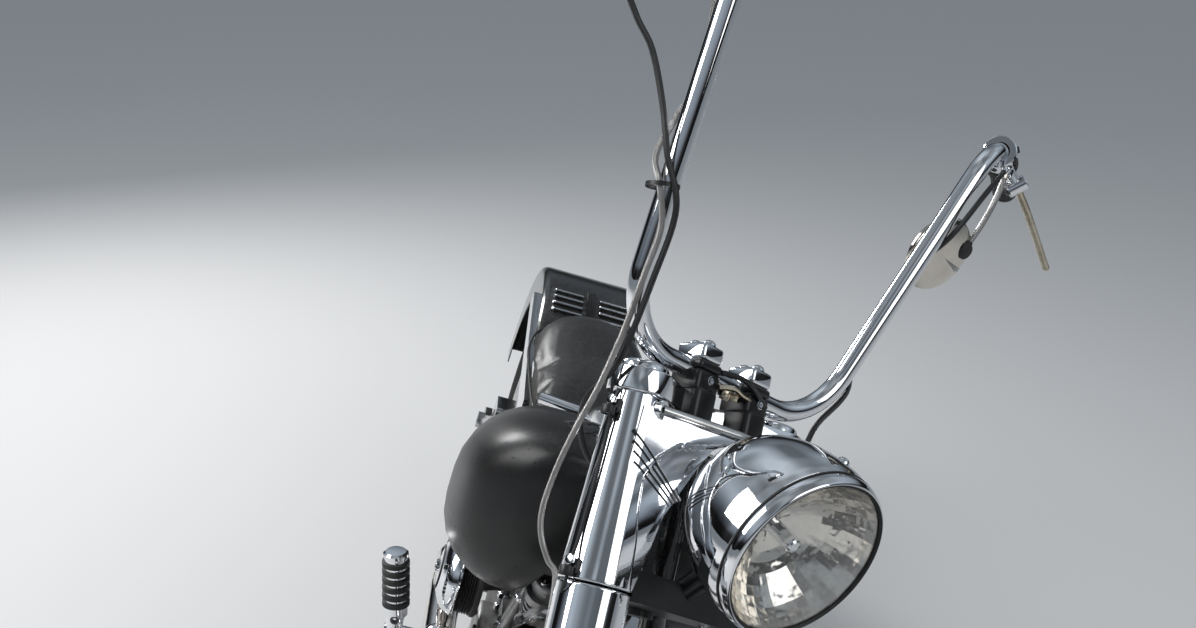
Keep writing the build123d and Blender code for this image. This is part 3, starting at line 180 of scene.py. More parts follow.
def buildLeatherGroup():
    # pebbled cells parted by fine creases, over a soft swell
    group, enter, leave, coords = newGroup("pebbledHide", {"Scale": 380.0}, "Height")
    crease = spreadNode(group, cellNode(group, coords, enter["Scale"], "DISTANCE_TO_EDGE"), 0.0, 0.28)
    swell = noiseNode(group, coords, mathNode(group, "MULTIPLY", enter["Scale"], 0.12), 3.0)
    parts = mathNode(group, "MULTIPLY", crease, 0.7), mathNode(group, "MULTIPLY", swell, 0.6)
    group.links.new(mathNode(group, "ADD", *parts), leave["Height"])
    return group


def buildChipGroup():
    # scattered stone chips: the middles of a few widely spaced cells
    group, enter, leave, coords = newGroup("stoneChips", {"Scale": 60.0, "Size": 0.16, "Spread": 0.6}, "Mask")
    near = mathNode(group, "LESS_THAN", cellNode(group, coords, enter["Scale"], "F1"), enter["Size"])
    patch = noiseNode(group, coords, mathNode(group, "MULTIPLY", enter["Scale"], 0.14), 2.0)
    patch = mathNode(group, "GREATER_THAN", patch, enter["Spread"])
    group.links.new(mathNode(group, "MULTIPLY", near, patch), leave["Mask"])
    return group


def buildWeaveGroup():
    # two crossed sets of fine strands, for braided line and stem covers
    group, enter, leave, coords = newGroup("braid", {"Scale": 260.0}, "Height")
    strands = []
    for turn in (38, -38):
        mapping = group.nodes.new("ShaderNodeMapping")
        mapping.inputs["Rotation"].default_value = (0.5, math.radians(turn), math.radians(turn))
        wave = group.nodes.new("ShaderNodeTexWave")
        wave.bands_direction = "Z"
        group.links.new(coords, mapping.inputs["Vector"])
        group.links.new(mapping.outputs["Vector"], wave.inputs["Vector"])
        group.links.new(enter["Scale"], wave.inputs["Scale"])
        strands.append(wave.outputs["Fac"])
    group.links.new(mathNode(group, "MAXIMUM", *strands), leave["Height"])
    return group


groups = {
    "smudge": buildSmudgeGroup(),
    "dust": buildDustGroup(),
    "casting": buildGrainGroup("castingGrain", 8.0, 0.72),
    "orangePeel": buildGrainGroup("orangePeel", 1.0, 0.4),
    "rubber": buildGrainGroup("mouldedRubber", 5.0, 0.65),
    "hide": buildLeatherGroup(),
    "chips": buildChipGroup(),
    "braid": buildWeaveGroup(),
}
print("shader groups built:", len(groups))


def makeFinish(name, look):
    material = bpy.data.materials.new(name)
    material.use_nodes = True
    tree = material.node_tree
    shader = tree.nodes["Principled BSDF"]
    constants = {
        "Metallic": look.get("metal", 0.0),
        "Specular IOR Level": look.get("specular", 0.5),
        "Coat Weight": look.get("coat", 0.0),
        "Coat Roughness": 0.03,
        "Sheen Weight": look.get("sheen", 0.0),
        "Transmission Weight": look.get("clear", 0.0),
        "IOR": look.get("ior", 1.5),
        "Anisotropic": look.get("brushed", 0.0),
    }
    for label, value in constants.items():
        shader.inputs[label].default_value = value

    def place(group, **values):
        node = tree.nodes.new("ShaderNodeGroup")
        node.node_tree = groups[group]
        for label, value in values.items():
            node.inputs[label].default_value = value
        return node.outputs[0]

    def blendColour(mask, first, second):
        mix = tree.nodes.new("ShaderNodeMix")
        mix.data_type = "RGBA"
        for label, value in (("Factor", mask), ("A", first), ("B", second)):
            feed(tree, value, mix.inputs[label])
        return mix.outputs["Result"]

    def roughen(rough, mask, amount):
        return mathNode(tree, "ADD", rough, mathNode(tree, "MULTIPLY", mask, amount))

    (least, spread), (amount, scale, smudgeColour) = look["rough"], look["smudge"]
    smudge = place("smudge", Scale=scale, Amount=amount)
    colour = blendColour(smudge, look["colour"], smudgeColour)
    rough = spreadNode(tree, smudge, 0.0, 1.0, least, least + spread)
    if "dust" in look:
        dust = place("dust", Amount=look["dust"][0], Scale=look["dust"][1])
        colour = blendColour(dust, colour, (0.42, 0.38, 0.33))
        rough = roughen(rough, dust, 0.35)
    if "chips" in look:
        chips = place("chips", **look["chips"])
        colour = blendColour(chips, colour, look["chipColour"])
        rough = roughen(rough, chips, 0.6)
    tree.links.new(colour, shader.inputs["Base Color"])
    tree.links.new(rough, shader.inputs["Roughness"])
    if "grain" in look:
        group, scale, strength, depth = look["grain"]
        bump = tree.nodes.new("ShaderNodeBump")
        bump.inputs["Strength"].default_value = strength
        bump.inputs["Distance"].default_value = depth / 1000
        tree.links.new(place(group, Scale=scale), bump.inputs["Height"])
        tree.links.new(bump.outputs["Normal"], shader.inputs["Normal"])
    return material


# rough: least and spread; smudge: amount, scale and colour; dust: amount and scale;
# grain: kind, scale, strength and depth in mm
finishes = {
    "chrome": {
        "colour": (0.84, 0.85, 0.87), "metal": 1.0, "rough": (0.035, 0.09),
        "smudge": (0.7, 22.0, (0.74, 0.75, 0.77)), "grain": ("orangePeel", 26.0, 0.12, 0.6),
    },
    "dullChrome": {
        "colour": (0.62, 0.61, 0.6), "metal": 1.0, "rough": (0.14, 0.25),
        "smudge": (0.9, 30.0, (0.4, 0.36, 0.32)), "dust": (0.25, 60.0),
        "grain": ("casting", 500.0, 0.15, 0.2),
    },
    "polishedAlloy": {
        "colour": (0.72, 0.73, 0.74), "metal": 1.0, "rough": (0.16, 0.14),
        "smudge": (0.8, 18.0, (0.55, 0.54, 0.53)), "grain": ("casting", 240.0, 0.08, 0.2),
    },
    "castAlloy": {
        "colour": (0.42, 0.42, 0.42), "metal": 0.9, "rough": (0.42, 0.2),
        "smudge": (0.9, 16.0, (0.2, 0.185, 0.17)), "dust": (0.35, 60.0),
        "grain": ("casting", 620.0, 0.45, 0.5),
    },
    "engineBlack": {
        "colour": (0.018, 0.018, 0.019), "rough": (0.45, 0.2), "smudge": (0.8, 14.0, (0.05, 0.046, 0.042)),
        "dust": (0.3, 60.0), "grain": ("casting", 700.0, 0.5, 0.4),
    },
    "steel": {
        "colour": (0.5, 0.5, 0.51), "metal": 1.0, "rough": (0.28, 0.2),
        "smudge": (0.8, 24.0, (0.3, 0.27, 0.24)), "grain": ("casting", 420.0, 0.2, 0.2), "brushed": 0.4,
    },
    "darkSteel": {
        "colour": (0.11, 0.11, 0.115), "metal": 1.0, "rough": (0.35, 0.2),
        "smudge": (0.8, 14.0, (0.07, 0.06, 0.05)), "grain": ("casting", 420.0, 0.2, 0.3),
    },
    "glossBlack": {
        "colour": (0.011, 0.011, 0.012), "rough": (0.16, 0.22), "smudge": (0.6, 14.0, (0.03, 0.029, 0.028)),
        "dust": (0.1, 120.0), "grain": ("orangePeel", 520.0, 0.12, 0.2), "specular": 0.4, "coat": 0.5,
    },
    "mattBlack": {
        "colour": (0.009, 0.009, 0.0095), "rough": (0.34, 0.08),
        "smudge": (0.7, 9.0, (0.016, 0.0157, 0.0153)), "dust": (0.07, 180.0),
        "grain": ("orangePeel", 640.0, 0.2, 0.2), "specular": 0.36,
        "chips": {"Scale": 95.0, "Size": 0.1, "Spread": 0.62}, "chipColour": (0.004, 0.004, 0.004),
    },
    "seatCover": {
        "colour": (0.011, 0.011, 0.0115), "rough": (0.3, 0.12), "smudge": (0.7, 10.0, (0.02, 0.0195, 0.019)),
        "dust": (0.07, 140.0), "grain": ("hide", 620.0, 0.28, 0.3), "specular": 0.4, "sheen": 0.05,
    },
    "tyreRubber": {
        "colour": (0.021, 0.0205, 0.02), "rough": (0.72, 0.15), "smudge": (0.9, 20.0, (0.06, 0.054, 0.047)),
        "dust": (0.25, 60.0), "grain": ("rubber", 500.0, 0.35, 0.3),
    },
    "softRubber": {
        "colour": (0.02, 0.02, 0.02), "rough": (0.6, 0.15), "smudge": (0.7, 14.0, (0.045, 0.042, 0.04)),
        "dust": (0.15, 60.0), "grain": ("rubber", 700.0, 0.3, 0.2),
    },
    "cableSheath": {
        "colour": (0.014, 0.014, 0.014), "rough": (0.4, 0.15), "smudge": (0.5, 14.0, (0.03, 0.03, 0.03)),
        "grain": ("rubber", 900.0, 0.15, 0.3),
    },
    "braidedLine": {
        "colour": (0.33, 0.32, 0.31), "metal": 0.85, "rough": (0.3, 0.15),
        "smudge": (0.8, 14.0, (0.16, 0.15, 0.14)), "grain": ("braid", 320.0, 0.6, 0.5), "coat": 0.6,
    },
    "lampGlass": {
        "colour": (0.96, 0.97, 0.97), "rough": (0.02, 0.1), "smudge": (0.5, 30.0, (0.96, 0.97, 0.97)),
        "grain": ("orangePeel", 60.0, 0.08, 0.6), "clear": 1.0, "ior": 1.46,
    },
    # black paint of the risers and lower clamp, also used for the nacelle ribs' painted shadow strips
    "riserBlack": {
        "colour": (0.009, 0.009, 0.0095), "rough": (0.3, 0.18), "smudge": (0.6, 14.0, (0.02, 0.019, 0.018)),
        "dust": (0.05, 60.0), "grain": ("casting", 600.0, 0.2, 0.2),
    },
    "agedAlloy": {
        "colour": (0.66, 0.58, 0.45), "metal": 1.0, "rough": (0.2, 0.2),
        "smudge": (0.9, 30.0, (0.36, 0.29, 0.2)), "grain": ("casting", 400.0, 0.15, 0.2),
    },
    "mirrorBack": {
        "colour": (0.74, 0.69, 0.62), "metal": 1.0, "rough": (0.1, 0.16),
        "smudge": (0.8, 30.0, (0.55, 0.49, 0.42)), "grain": ("orangePeel", 60.0, 0.1, 0.4),
    },
    "mirrorFace": {
        "colour": (0.8, 0.81, 0.82), "metal": 1.0, "rough": (0.02, 0.1),
        "smudge": (0.5, 35.0, (0.66, 0.66, 0.66)),
    },
    # reflector foil: its warm tint is a painted reflection of warm surroundings; its darker warm smudges are
    # partly real haze, partly that painted reflection
    "reflectorFoil": {
        "colour": (0.8, 0.76, 0.7), "metal": 1.0, "rough": (0.09, 0.16),
        "smudge": (0.8, 30.0, (0.6, 0.56, 0.5)), "grain": ("orangePeel", 90.0, 0.4, 2.0),
    },
    "redLens": {
        "colour": (0.42, 0.012, 0.012), "rough": (0.08, 0.12), "smudge": (0.6, 14.0, (0.3, 0.02, 0.018)),
        "grain": ("orangePeel", 200.0, 0.2, 0.3), "coat": 0.8,
    },
    "amberLens": {
        "colour": (0.6, 0.2, 0.02), "rough": (0.1, 0.1), "smudge": (0.5, 14.0, (0.4, 0.13, 0.02)),
        "coat": 0.8,
    },
    "plateEnamel": {
        "colour": (0.66, 0.66, 0.64), "rough": (0.38, 0.2), "smudge": (0.8, 14.0, (0.5, 0.48, 0.44)),
        "dust": (0.3, 60.0), "grain": ("orangePeel", 300.0, 0.1, 0.3),
    },
    "blueChrome": {
        "colour": (0.78, 0.76, 0.74), "metal": 1.0, "rough": (0.06, 0.12),
        "smudge": (0.9, 6.0, (0.5, 0.42, 0.36)), "grain": ("orangePeel", 30.0, 0.1, 0.5),
    },
    "porcelain": {
        "colour": (0.72, 0.7, 0.66), "rough": (0.2, 0.15), "smudge": (0.6, 14.0, (0.5, 0.47, 0.42)),
    },
    "gaugeFace": {
        "colour": (0.03, 0.03, 0.032), "rough": (0.45, 0.1), "smudge": (0.4, 14.0, (0.045, 0.045, 0.045)),
    },
    "gaugeInk": {
        "colour": (0.75, 0.74, 0.7), "rough": (0.5, 0.1), "smudge": (0.4, 14.0, (0.6, 0.59, 0.55)),
    },
}
paint = {name: makeFinish(name, look) for name, look in finishes.items()}
print("finishes made:", len(paint))

nodeFinish = {
    "chrome": [
        "fork_upper_covers", "fork_lower_covers", "top_clamp", "headlight_bowl", "nacelle", "handlebar",
        "hand_controls", "mirrors", "front_axle", "front_wheel", "rear_wheel", "air_cleaner", "primary_cover",
        "exhaust_front", "exhaust_rear", "seat_trim", "tank_console", "fender_struts", "foot_controls",
    ],
    "polishedAlloy": ["fork_sliders", "front_caliper", "rear_caliper", "rear_pulley"],
    "castAlloy": ["crankcase", "cylinder_front", "cylinder_rear", "gearbox", "carburettor"],
    "steel": ["front_brake_disc", "rear_brake_disc", "rear_axle", "side_stand"],
    "riserBlack": ["lower_clamp"],
    "glossBlack": [
        "frame_backbone", "frame_left", "frame_right", "frame_cross_members", "oil_tank", "front_fender",
        "rear_fender",
    ],
    "mattBlack": ["fuel_tank_left", "fuel_tank_right"],
    "seatCover": ["seat"],
    "tyreRubber": ["front_tyre", "rear_tyre"],
    "softRubber": ["grips", "drive_belt"],
    "cableSheath": ["control_cables"],
    "braidedLine": ["brake_line"],
    "lampGlass": ["headlight_lens"],
    "reflectorFoil": ["headlight_reflector"],
    "redLens": ["tail_light"],
    "plateEnamel": ["number_plate"],
}
for finish, names in nodeFinish.items():
    for name in names:
        nodes[name].data.materials.clear()
        nodes[name].data.materials.append(paint[finish])
print("finishes laid on the carried-over parts")


# Shape helpers: profiles in millimetres, pieces set into the row frame when they are finished
def arcPoints(start, middle, end, steps):
    # points on the circle through three points of a plane, from start to end
    (ax, ay), (bx, by), (cx, cy) = start, middle, end
    size = 2 * (ax * (by - cy) + bx * (cy - ay) + cx * (ay - by))
    a, b, c = ax * ax + ay * ay, bx * bx + by * by, cx * cx + cy * cy
    centre = Vector(((a * (by - cy) + b * (cy - ay) + c * (ay - by)) / size,
                     (a * (cx - bx) + b * (ax - cx) + c * (bx - ax)) / size))
    first, last = Vector(start) - centre, Vector(end) - centre
    turn = math.atan2(first.cross(last), first.dot(last))
    side = math.atan2(first.cross(Vector(middle) - centre), first.dot(Vector(middle) - centre))
    if turn * side < 0:
        turn -= math.copysign(2 * math.pi, turn)
    return [tuple(centre + Matrix.Rotation(turn * n / steps, 2) @ first) for n in range(steps + 1)]


def smoothLine(points, steps):
    # a flowing line through every point
    points = [Vector(point) for point in points]
    line = []
    ends = [points[0] * 2 - points[1]] + points + [points[-1] * 2 - points[-2]]
    for n in range(1, len(ends) - 2):
        a, b, c, d = ends[n - 1:n + 3]
        for k in range(steps):
            t = k / steps
            early = 2 * b + (c - a) * t + (2 * a - 5 * b + 4 * c - d) * t * t
            line.append(tuple(0.5 * (early + (3 * b - a - 3 * c + d) * t ** 3)))
    return line + [tuple(points[-1])]


def latheShape(profile, segments, closed=False):
    # spins a profile of (radius, height) points about Z
    shape = bmesh.new()
    ring = [shape.verts.new((radius, 0, height)) for radius, height in profile]
    count = len(ring) if closed else len(ring) - 1
    lines = [shape.edges.new((ring[n], ring[(n + 1) % len(ring)])) for n in range(count)]
    bmesh.ops.spin(shape, geom=ring + lines, cent=(0, 0, 0), axis=(0, 0, 1), angle=2 * math.pi,
                   steps=segments, use_merge=True)
    bmesh.ops.remove_doubles(shape, verts=shape.verts, dist=0.001)
    bmesh.ops.recalc_face_normals(shape, faces=shape.faces)
    return shape


def addPart(shape, part, place=still, finish=None):
    # joins a finished part to the piece and clears it away
    bmesh.ops.transform(part, matrix=place, verts=part.verts)
    if finish is not None:
        for face in part.faces:
            face.material_index = finish
    mesh = bpy.data.meshes.new("part")
    part.to_mesh(mesh)
    part.free()
    shape.from_mesh(mesh)
    bpy.data.meshes.remove(mesh)


def addMesh(shape, mesh, finish):
    # joins a mesh to the piece and removes it
    start = len(shape.faces)
    shape.from_mesh(mesh)
    shape.faces.ensure_lookup_table()
    for face in shape.faces[start:]:
        face.material_index = finish
    bpy.data.meshes.remove(mesh)


def addLathe(shape, profile, place=still, segments=32, closed=False, finish=0):
    addPart(shape, latheShape(profile, segments, closed), place, finish)


def roundEdges(part, offset, segments=2, edges=None):
    bmesh.ops.bevel(part, geom=edges or part.edges, offset=offset, segments=segments, profile=0.5,
                    affect="EDGES", material=-1)


def addBlock(shape, size, place, bevel=1.0, finish=0, segments=2):
    part = bmesh.new()
    bmesh.ops.create_cube(part, size=1.0)
    bmesh.ops.scale(part, vec=size, verts=part.verts)
    if bevel:
        roundEdges(part, bevel, segments)
    addPart(shape, part, place, finish)


def between(start, end):
    # a place at start whose Z runs towards end
    run = Vector(end) - Vector(start)
    return shift(*start) @ run.to_track_quat("Z", "Y").to_matrix().to_4x4()


def ringed(radius, low, high, bore, edge):
    # a bored collar with rounded outer edges
    inner = radius - edge
    outline = [(bore, low), (inner, low), (radius, low + edge), (radius, high - edge)]
    return outline + [(inner, high), (bore, high)]


def addRod(shape, start, end, radius, edge=0.8, finish=0, segments=20):
    length = (Vector(end) - Vector(start)).length
    inner = radius - edge
    profile = [(0, 0), (inner, 0), (radius, edge), (radius, length - edge), (inner, length), (0, length)]
    addLathe(shape, profile, between(start, end), segments, False, finish)


def addBolt(shape, spot, direction, radius=5.0, height=5.0, finish=0):
    # a cap head with a hexagon socket
    sink, base, chamfer = radius * 0.55, height * 0.35, 0.7
    profile = [
        (0, base), (sink, base), (sink, height - 0.3), (sink + 0.4, height), (radius - chamfer, height),
        (radius, height - chamfer), (radius, 0),
    ]
    addLathe(shape, profile, between(spot, Vector(spot) + Vector(direction)), 18, False, finish)


def boltRing(shape, place, direction, ring, size, finish=0, phase=0.0):
    # ring holds the count, the circle's radius and the height; size is a head's radius and height
    count, radius, height = ring
    for n in range(count):
        spot = place @ circlePoint(radius, math.tau * (n + phase) / count, height)
        addBolt(shape, spot, direction, *size, finish)


def addNut(shape, spot, direction, radius=9.0, height=8.0, finish=0):
    part = bmesh.new()
    bmesh.ops.create_cone(part, cap_ends=True, segments=6, radius1=radius, radius2=radius, depth=height)
    roundEdges(part, 0.6)
    bmesh.ops.translate(part, vec=(0, 0, height / 2), verts=part.verts)
    addPart(shape, part, between(spot, Vector(spot) + Vector(direction)), finish)


def roundedRoute(points, radii, steps):
    # straight runs joined by tangent arcs, as a bent bar has
    points = [Vector(point) for point in points]
    route = [points[0]]
    for n, radius in enumerate(radii):
        before, corner, after = points[n:n + 3]
        back, ahead = (before - corner).normalized(), (after - corner).normalized()
        half = back.angle(ahead) / 2
        centre = corner + (back + ahead).normalized() * (radius / math.sin(half))
        first = corner + back * (radius / math.tan(half)) - centre
        axis = back.cross(ahead)
        turn = math.pi - 2 * half
        route += [centre + Matrix.Rotation(-turn * k / steps, 3, axis) @ first for k in range(steps + 1)]
    return route + [points[-1]]


def curveMesh(curve):
    holder = bpy.data.objects.new("route", curve)
    mesh = bpy.data.meshes.new_from_object(holder)
    bpy.data.objects.remove(holder)
    bpy.data.curves.remove(curve)
    return mesh


def addTube(shape, points, radius, sides=16, kind="POLY", finish=0, resolution=8):
    # a round tube along points: straight between them, or on their smooth spline
    curve = bpy.data.curves.new("route", "CURVE")
    curve.dimensions = "3D"
    curve.bevel_depth = radius
    curve.bevel_resolution = max(0, sides // 4 - 1)
    curve.use_fill_caps = True
    curve.resolution_u = resolution
    spline = curve.splines.new(kind)
    spline.points.add(len(points) - 1)
    for point, place in zip(spline.points, points):
        point.co = (*place, 1)
    if kind == "NURBS":
        spline.order_u = 3
        spline.use_endpoint_u = True
    addMesh(shape, curveMesh(curve), finish)


def makePiece(name, shape, place, finishNames, body, slotName, replaced=(), sharp=38):
    bmesh.ops.transform(shape, matrix=place, verts=shape.verts)
    mesh = bpy.data.meshes.new(name)
    shape.to_mesh(mesh)
    shape.free()
    for label in finishNames.split():
        mesh.materials.append(paint[label])
    mesh.shade_smooth()
    if sharp < 180:
        mesh.set_sharp_from_angle(angle=math.radians(sharp))
    piece = bpy.data.objects.new(name, mesh)
    scene.collection.objects.link(piece)
    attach(piece, body)
    if replaced:
        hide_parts(*replaced)
    return piece


# Fork covers, caps and the seam between upper and lower covers
fork = {
    "forward": 45, "side": 118, "cap": 28.5, "capEnd": -60, "top": 31, "cover": 40.5, "grow": 9.5, "run": 186,
    "seam": -246, "seamGap": 2, "bottom": -470, "axle": -737.98, "steps": 8,
}


def taperRadius(z):
    # the upper cover's radius at a height
    return fork["top"] + fork["grow"] * (fork["capEnd"] - z) / fork["run"]


cover, seam, bottom, axle = fork["cover"], fork["seam"], fork["bottom"], fork["axle"]
lowerStart = seam - fork["seamGap"]
taper = [fork["capEnd"] - fork["run"] * n / fork["steps"] for n in range(1, fork["steps"])]
upperProfile = (
    [(0, -14), (9, -14), (9, -1.5), (10.5, 0), (14, 0)]
    + arcPoints((16, 0), (26.4, -1.8), (fork["cap"], -5), 8)
    + [(fork["cap"] + 0.5, -12), (fork["top"] - 0.8, -40), (fork["top"], fork["capEnd"])]
    + [(taperRadius(z), z) for z in taper]
    + arcPoints((cover, seam + 3), (cover - 0.5, seam + 0.6), (cover - 2, seam), 4)
    + [(cover - 5, seam), (0, seam)]
)
lowerProfile = (
    [(0, lowerStart), (cover - 4, lowerStart)]
    + arcPoints((cover - 2.4, lowerStart), (cover - 0.5, lowerStart - 0.8), (cover, lowerStart - 3), 4)
    + [(cover, bottom + 30), (cover + 2, bottom + 8)]
    + arcPoints((cover + 2, bottom + 2), (cover + 1.4, bottom + 0.6), (cover, bottom), 3)
    + [(0, bottom)]
)
sliderProfile = [
    (0, bottom), (30, bottom), (30, axle + 70), (28.5, axle + 62), (25, axle + 45), (25, axle - 8),
    (23.5, axle - 15), (18, axle - 24), (0, axle - 24),
]
forkPieces = {
    "forkUpperCovers": (bmesh.new(), "chrome", "chrome", "fork_upper_covers"),
    "forkLowerCovers": (bmesh.new(), "chrome", "chrome", "fork_lower_covers"),
    "forkSliders": (bmesh.new(), "polishedAlloy", "polished_aluminium", "fork_sliders"),
}
upperCovers, lowerCovers, sliders = [row[0] for row in forkPieces.values()]
for side in (1, -1):
    leg = shift(fork["forward"], side * fork["side"], 0)
    addLathe(upperCovers, upperProfile, leg, 112)
    addLathe(lowerCovers, lowerProfile, leg, 112)
    addLathe(sliders, sliderProfile, leg, 64)
    addLathe(sliders, ringed(26, -28, 28, 12.6, 1.5), leg @ shift(0, 0, axle) @ turned(90, "X"), 48, True)
    for height, radius, head in ((30, 6, 5), (-12, 5, 4)):
        addBolt(sliders, leg @ Vector((25, 0, axle + height)), (1, 0, 0), radius, head)
for name, (shape, finish, slotName, node) in forkPieces.items():
    makePiece(name, shape, forkFrame, finish, "front_end", slotName, [node], 32)

# Clamp with black risers under bright caps
clamp = {
    "bottom": -38, "thickness": 28, "ends": ((45, 118, 36), (0, 0, 30)), "edge": 2.5, "riserX": 54,
    "riserY": 45,
    "blocks": [
        # size, x and z of the middle, rounding, finish, steps
        ((44, 38, 27), 0, 2, 5, 1, 3), ((46, 36, 44), 2, -26, 7, 1, 3), ((44, 38, 11), 0, 20.5, 4, 1, 3),
        ((42, 36, 20), 0, 35.7, 5, 0, 4),
    ],
    "nuts": [(66, 10, -2), (70, -12, -4), (62, 0, -4)],
}
clampShape = bmesh.new()
for side in (1, -1):
    arm = bmesh.new()
    outline = []
    for x, y, radius in clamp["ends"]:
        for n in range(40):
            turn = math.tau * n / 40
            spot = (x + radius * math.cos(turn), side * y + radius * math.sin(turn), clamp["bottom"])
            outline.append(arm.verts.new(spot))
    hull = bmesh.ops.convex_hull(arm, input=outline)
    bmesh.ops.delete(arm, geom=list(set(hull["geom_interior"])), context="VERTS")
    bmesh.ops.dissolve_limit(arm, angle_limit=0.02, verts=arm.verts, edges=arm.edges)
    grown = bmesh.ops.extrude_face_region(arm, geom=arm.faces[:])["geom"]
    top = [item for item in grown if isinstance(item, bmesh.types.BMVert)]
    bmesh.ops.translate(arm, vec=(0, 0, clamp["thickness"]), verts=top)
    bmesh.ops.remove_doubles(arm, verts=arm.verts, dist=0.01)
    bmesh.ops.recalc_face_normals(arm, faces=arm.faces)
    level = [edge for edge in arm.edges if abs(edge.verts[0].co.z - edge.verts[1].co.z) < 0.1]
    roundEdges(arm, clamp["edge"], 3, level)
    addPart(clampShape, arm)
addNut(clampShape, (0, 0, -8), (0, 0, 1), 18, 11)
capProfile = [(0, 7)] + arcPoints((0.01, 7), (5.6, 5.2), (8.4, 0), 8)
for side in (1, -1):
    spot = shift(clamp["riserX"], side * clamp["riserY"], 0)
    for size, x, z, rounding, finish, steps in clamp["blocks"]:
        addBlock(clampShape, size, spot @ shift(x, 0, z), rounding, finish, steps)
    for x in (-10, 10):
        addLathe(clampShape, capProfile, spot @ shift(x, 0, 45.5), 28)
    addBolt(clampShape, spot @ Vector((22, 0, 4)), (1, 0, 0), 5.5, 4)
for spot in clamp["nuts"]:
    addNut(clampShape, spot, (0.3, 0, 1), 7, 9, 2)
addTube(clampShape, [(78, -30, 2), (84, -12, 8), (80, 8, 4), (74, 28, 6), (64, 60, 2)], 3.2, 12, "NURBS", 2)
addTube(clampShape, [(74, -26, 20), (84, 0, 24), (82, 30, 14), (72, 62, 6)], 3.5, 12, "NURBS", 1)
makePiece("topClampAndRisers", clampShape, forkFrame, "chrome riserBlack agedAlloy", "front_end", "chrome",
          ["top_clamp"], 32)

# Nacelle: wings wrapped from the fork covers to the lamp, with a stepped panel, slant ribs each with a
# near-black painted shadow strip beside it, and a top moulding
nacelle = {
    "edge": [(-50, 96), (-62, 80), (-74, 63), (-100, 48), (-130, 34), (-158, 21), (-213, 10), (-243, 3)],
    "step": [(70, -66), (56, -70.6), (16, -82), (-6, -102), (-19, -126), (-17, -160), (-10, -196),
             (-6, -243)],
    "stepDepth": 3.2, "stepSoft": 2.6, "wrap": 78, "gap": 1.4, "sheet": 1.6, "root": (80, 100),
    "slope": (100, 32), "top": -50, "height": 193, "ribs": 4, "ribStart": (-39, -78), "ribEnd": (38, -136),
    "ribPitch": (2.4, -11), "ribShorten": 6, "ribRadius": 1.3, "paintedShadeRadius": 1.9, "paintedShadeDrop": -2.9,
    "proud": 0.5,
}


def stepAlong(table, value):
    for (z, u), (nextZ, nextU) in zip(table, table[1:]):
        if value >= nextZ:
            return u + (nextU - u) * (z - value) / (z - nextZ)
    return table[-1][1]


def wingPoint(side, u, z, proud=0.0):
    # u runs along the wing from its CAD root towards the lamp, negative where it wraps the fork cover
    reach = taperRadius(z) + nacelle["gap"]
    forward, sideways = nacelle["slope"]
    outwards = Vector((forward, side * sideways, 0)).normalized()
    along = Vector((sideways, -side * forward, 0)).normalized()
    centre = Vector((fork["forward"], side * fork["side"], z))
    root = Vector((nacelle["root"][0], side * nacelle["root"][1], z))
    start = centre + outwards * reach
    first, last = (start - root).dot(along), stepAlong(nacelle["edge"], z)
    if u <= first:
        turn = (first - u) / reach
        return centre + (Matrix.Rotation(side * turn, 3, "Z") @ outwards) * (reach + proud)
    return start.lerp(root + along * last, (u - first) / (last - first)) + outwards * proud


def stepDrop(u, z):
    # how far a point of the wing lies behind its raised border
    nearest, inside = 1e9, False
    spot = Vector((u, z))
    for first, last in zip(nacelle["step"], nacelle["step"][1:]):
        first = Vector(first)
        run = Vector(last) - first
        share = max(0, min(1, (spot - first).dot(run) / run.length_squared))
        away = (spot - first - run * share).length
        if away < nearest:
            nearest, inside = away, run.cross(spot - first) > 0
    if not inside:
        return 0
    share = min(1, nearest / nacelle["stepSoft"])
    return nacelle["stepDepth"] * share * share * (3 - 2 * share)


wings = bmesh.new()
eyeProfile = [(3.6, -4), (10, -4), (11, -3), (11, 3), (10, 4), (6, 4), (5, 2.6), (3.6, 2.4)]
for side in (1, -1):
    wing = bmesh.new()
    bmesh.ops.create_grid(wing, x_segments=66, y_segments=72, size=0.5)
    for vert in wing.verts:
        z = nacelle["top"] - nacelle["height"] * (vert.co.y + 0.5)
        low = -taperRadius(z) * math.radians(nacelle["wrap"]) + 8
        u = low + (stepAlong(nacelle["edge"], z) - low) * (vert.co.x + 0.5)
        vert.co = wingPoint(side, u, z, -stepDrop(u, z))
    bmesh.ops.recalc_face_normals(wing, faces=wing.faces)
    bmesh.ops.solidify(wing, geom=wing.faces[:], thickness=nacelle["sheet"])
    bmesh.ops.recalc_face_normals(wing, faces=wing.faces)
    addPart(wings, wing)
    for n in range(nacelle["ribs"]):
        step = Vector(nacelle["ribPitch"]) * n
        first, last = Vector(nacelle["ribStart"]) + step, Vector(nacelle["ribEnd"]) + step * 0.5
        last = last + (first - last).normalized() * nacelle["ribShorten"] * n
        # each rib is a chrome bead with a near-black tube just below it: a painted shadow standing in for the
        # slot's recess
        down = Vector((-(last - first).y, (last - first).x)).normalized() * nacelle["paintedShadeDrop"]
        ribs = ((Vector((0, 0)), nacelle["ribRadius"], 0), (down, nacelle["paintedShadeRadius"], 1))
        for offset, radius, finish in ribs:
            spots = []
            for k in range(13):
                u, z = first.lerp(last, k / 12) + offset
                spots.append(wingPoint(side, u, z, nacelle["proud"] - stepDrop(u, z)))
            addTube(wings, spots, radius, 10, "POLY", finish)
    eye = shift(79, side * 112, -50) @ turned(90, "Y") @ turned(side * 18, "X")
    addLathe(wings, eyeProfile, eye, 36, True)
    addLathe(wings, [(0, 2.6), (3.4, 2.6), (3.4, -3), (0, -3)], eye, 16, False, 1)
addTube(wings, roundedRoute([(80, 112, -50), (114, 0, -50), (80, -112, -50)], [60], 24), 6, 24, "POLY", 2)
makePiece("nacelleWings", wings, forkFrame, "chrome riserBlack dullChrome", "front_end", "chrome",
          ["nacelle"], 40)

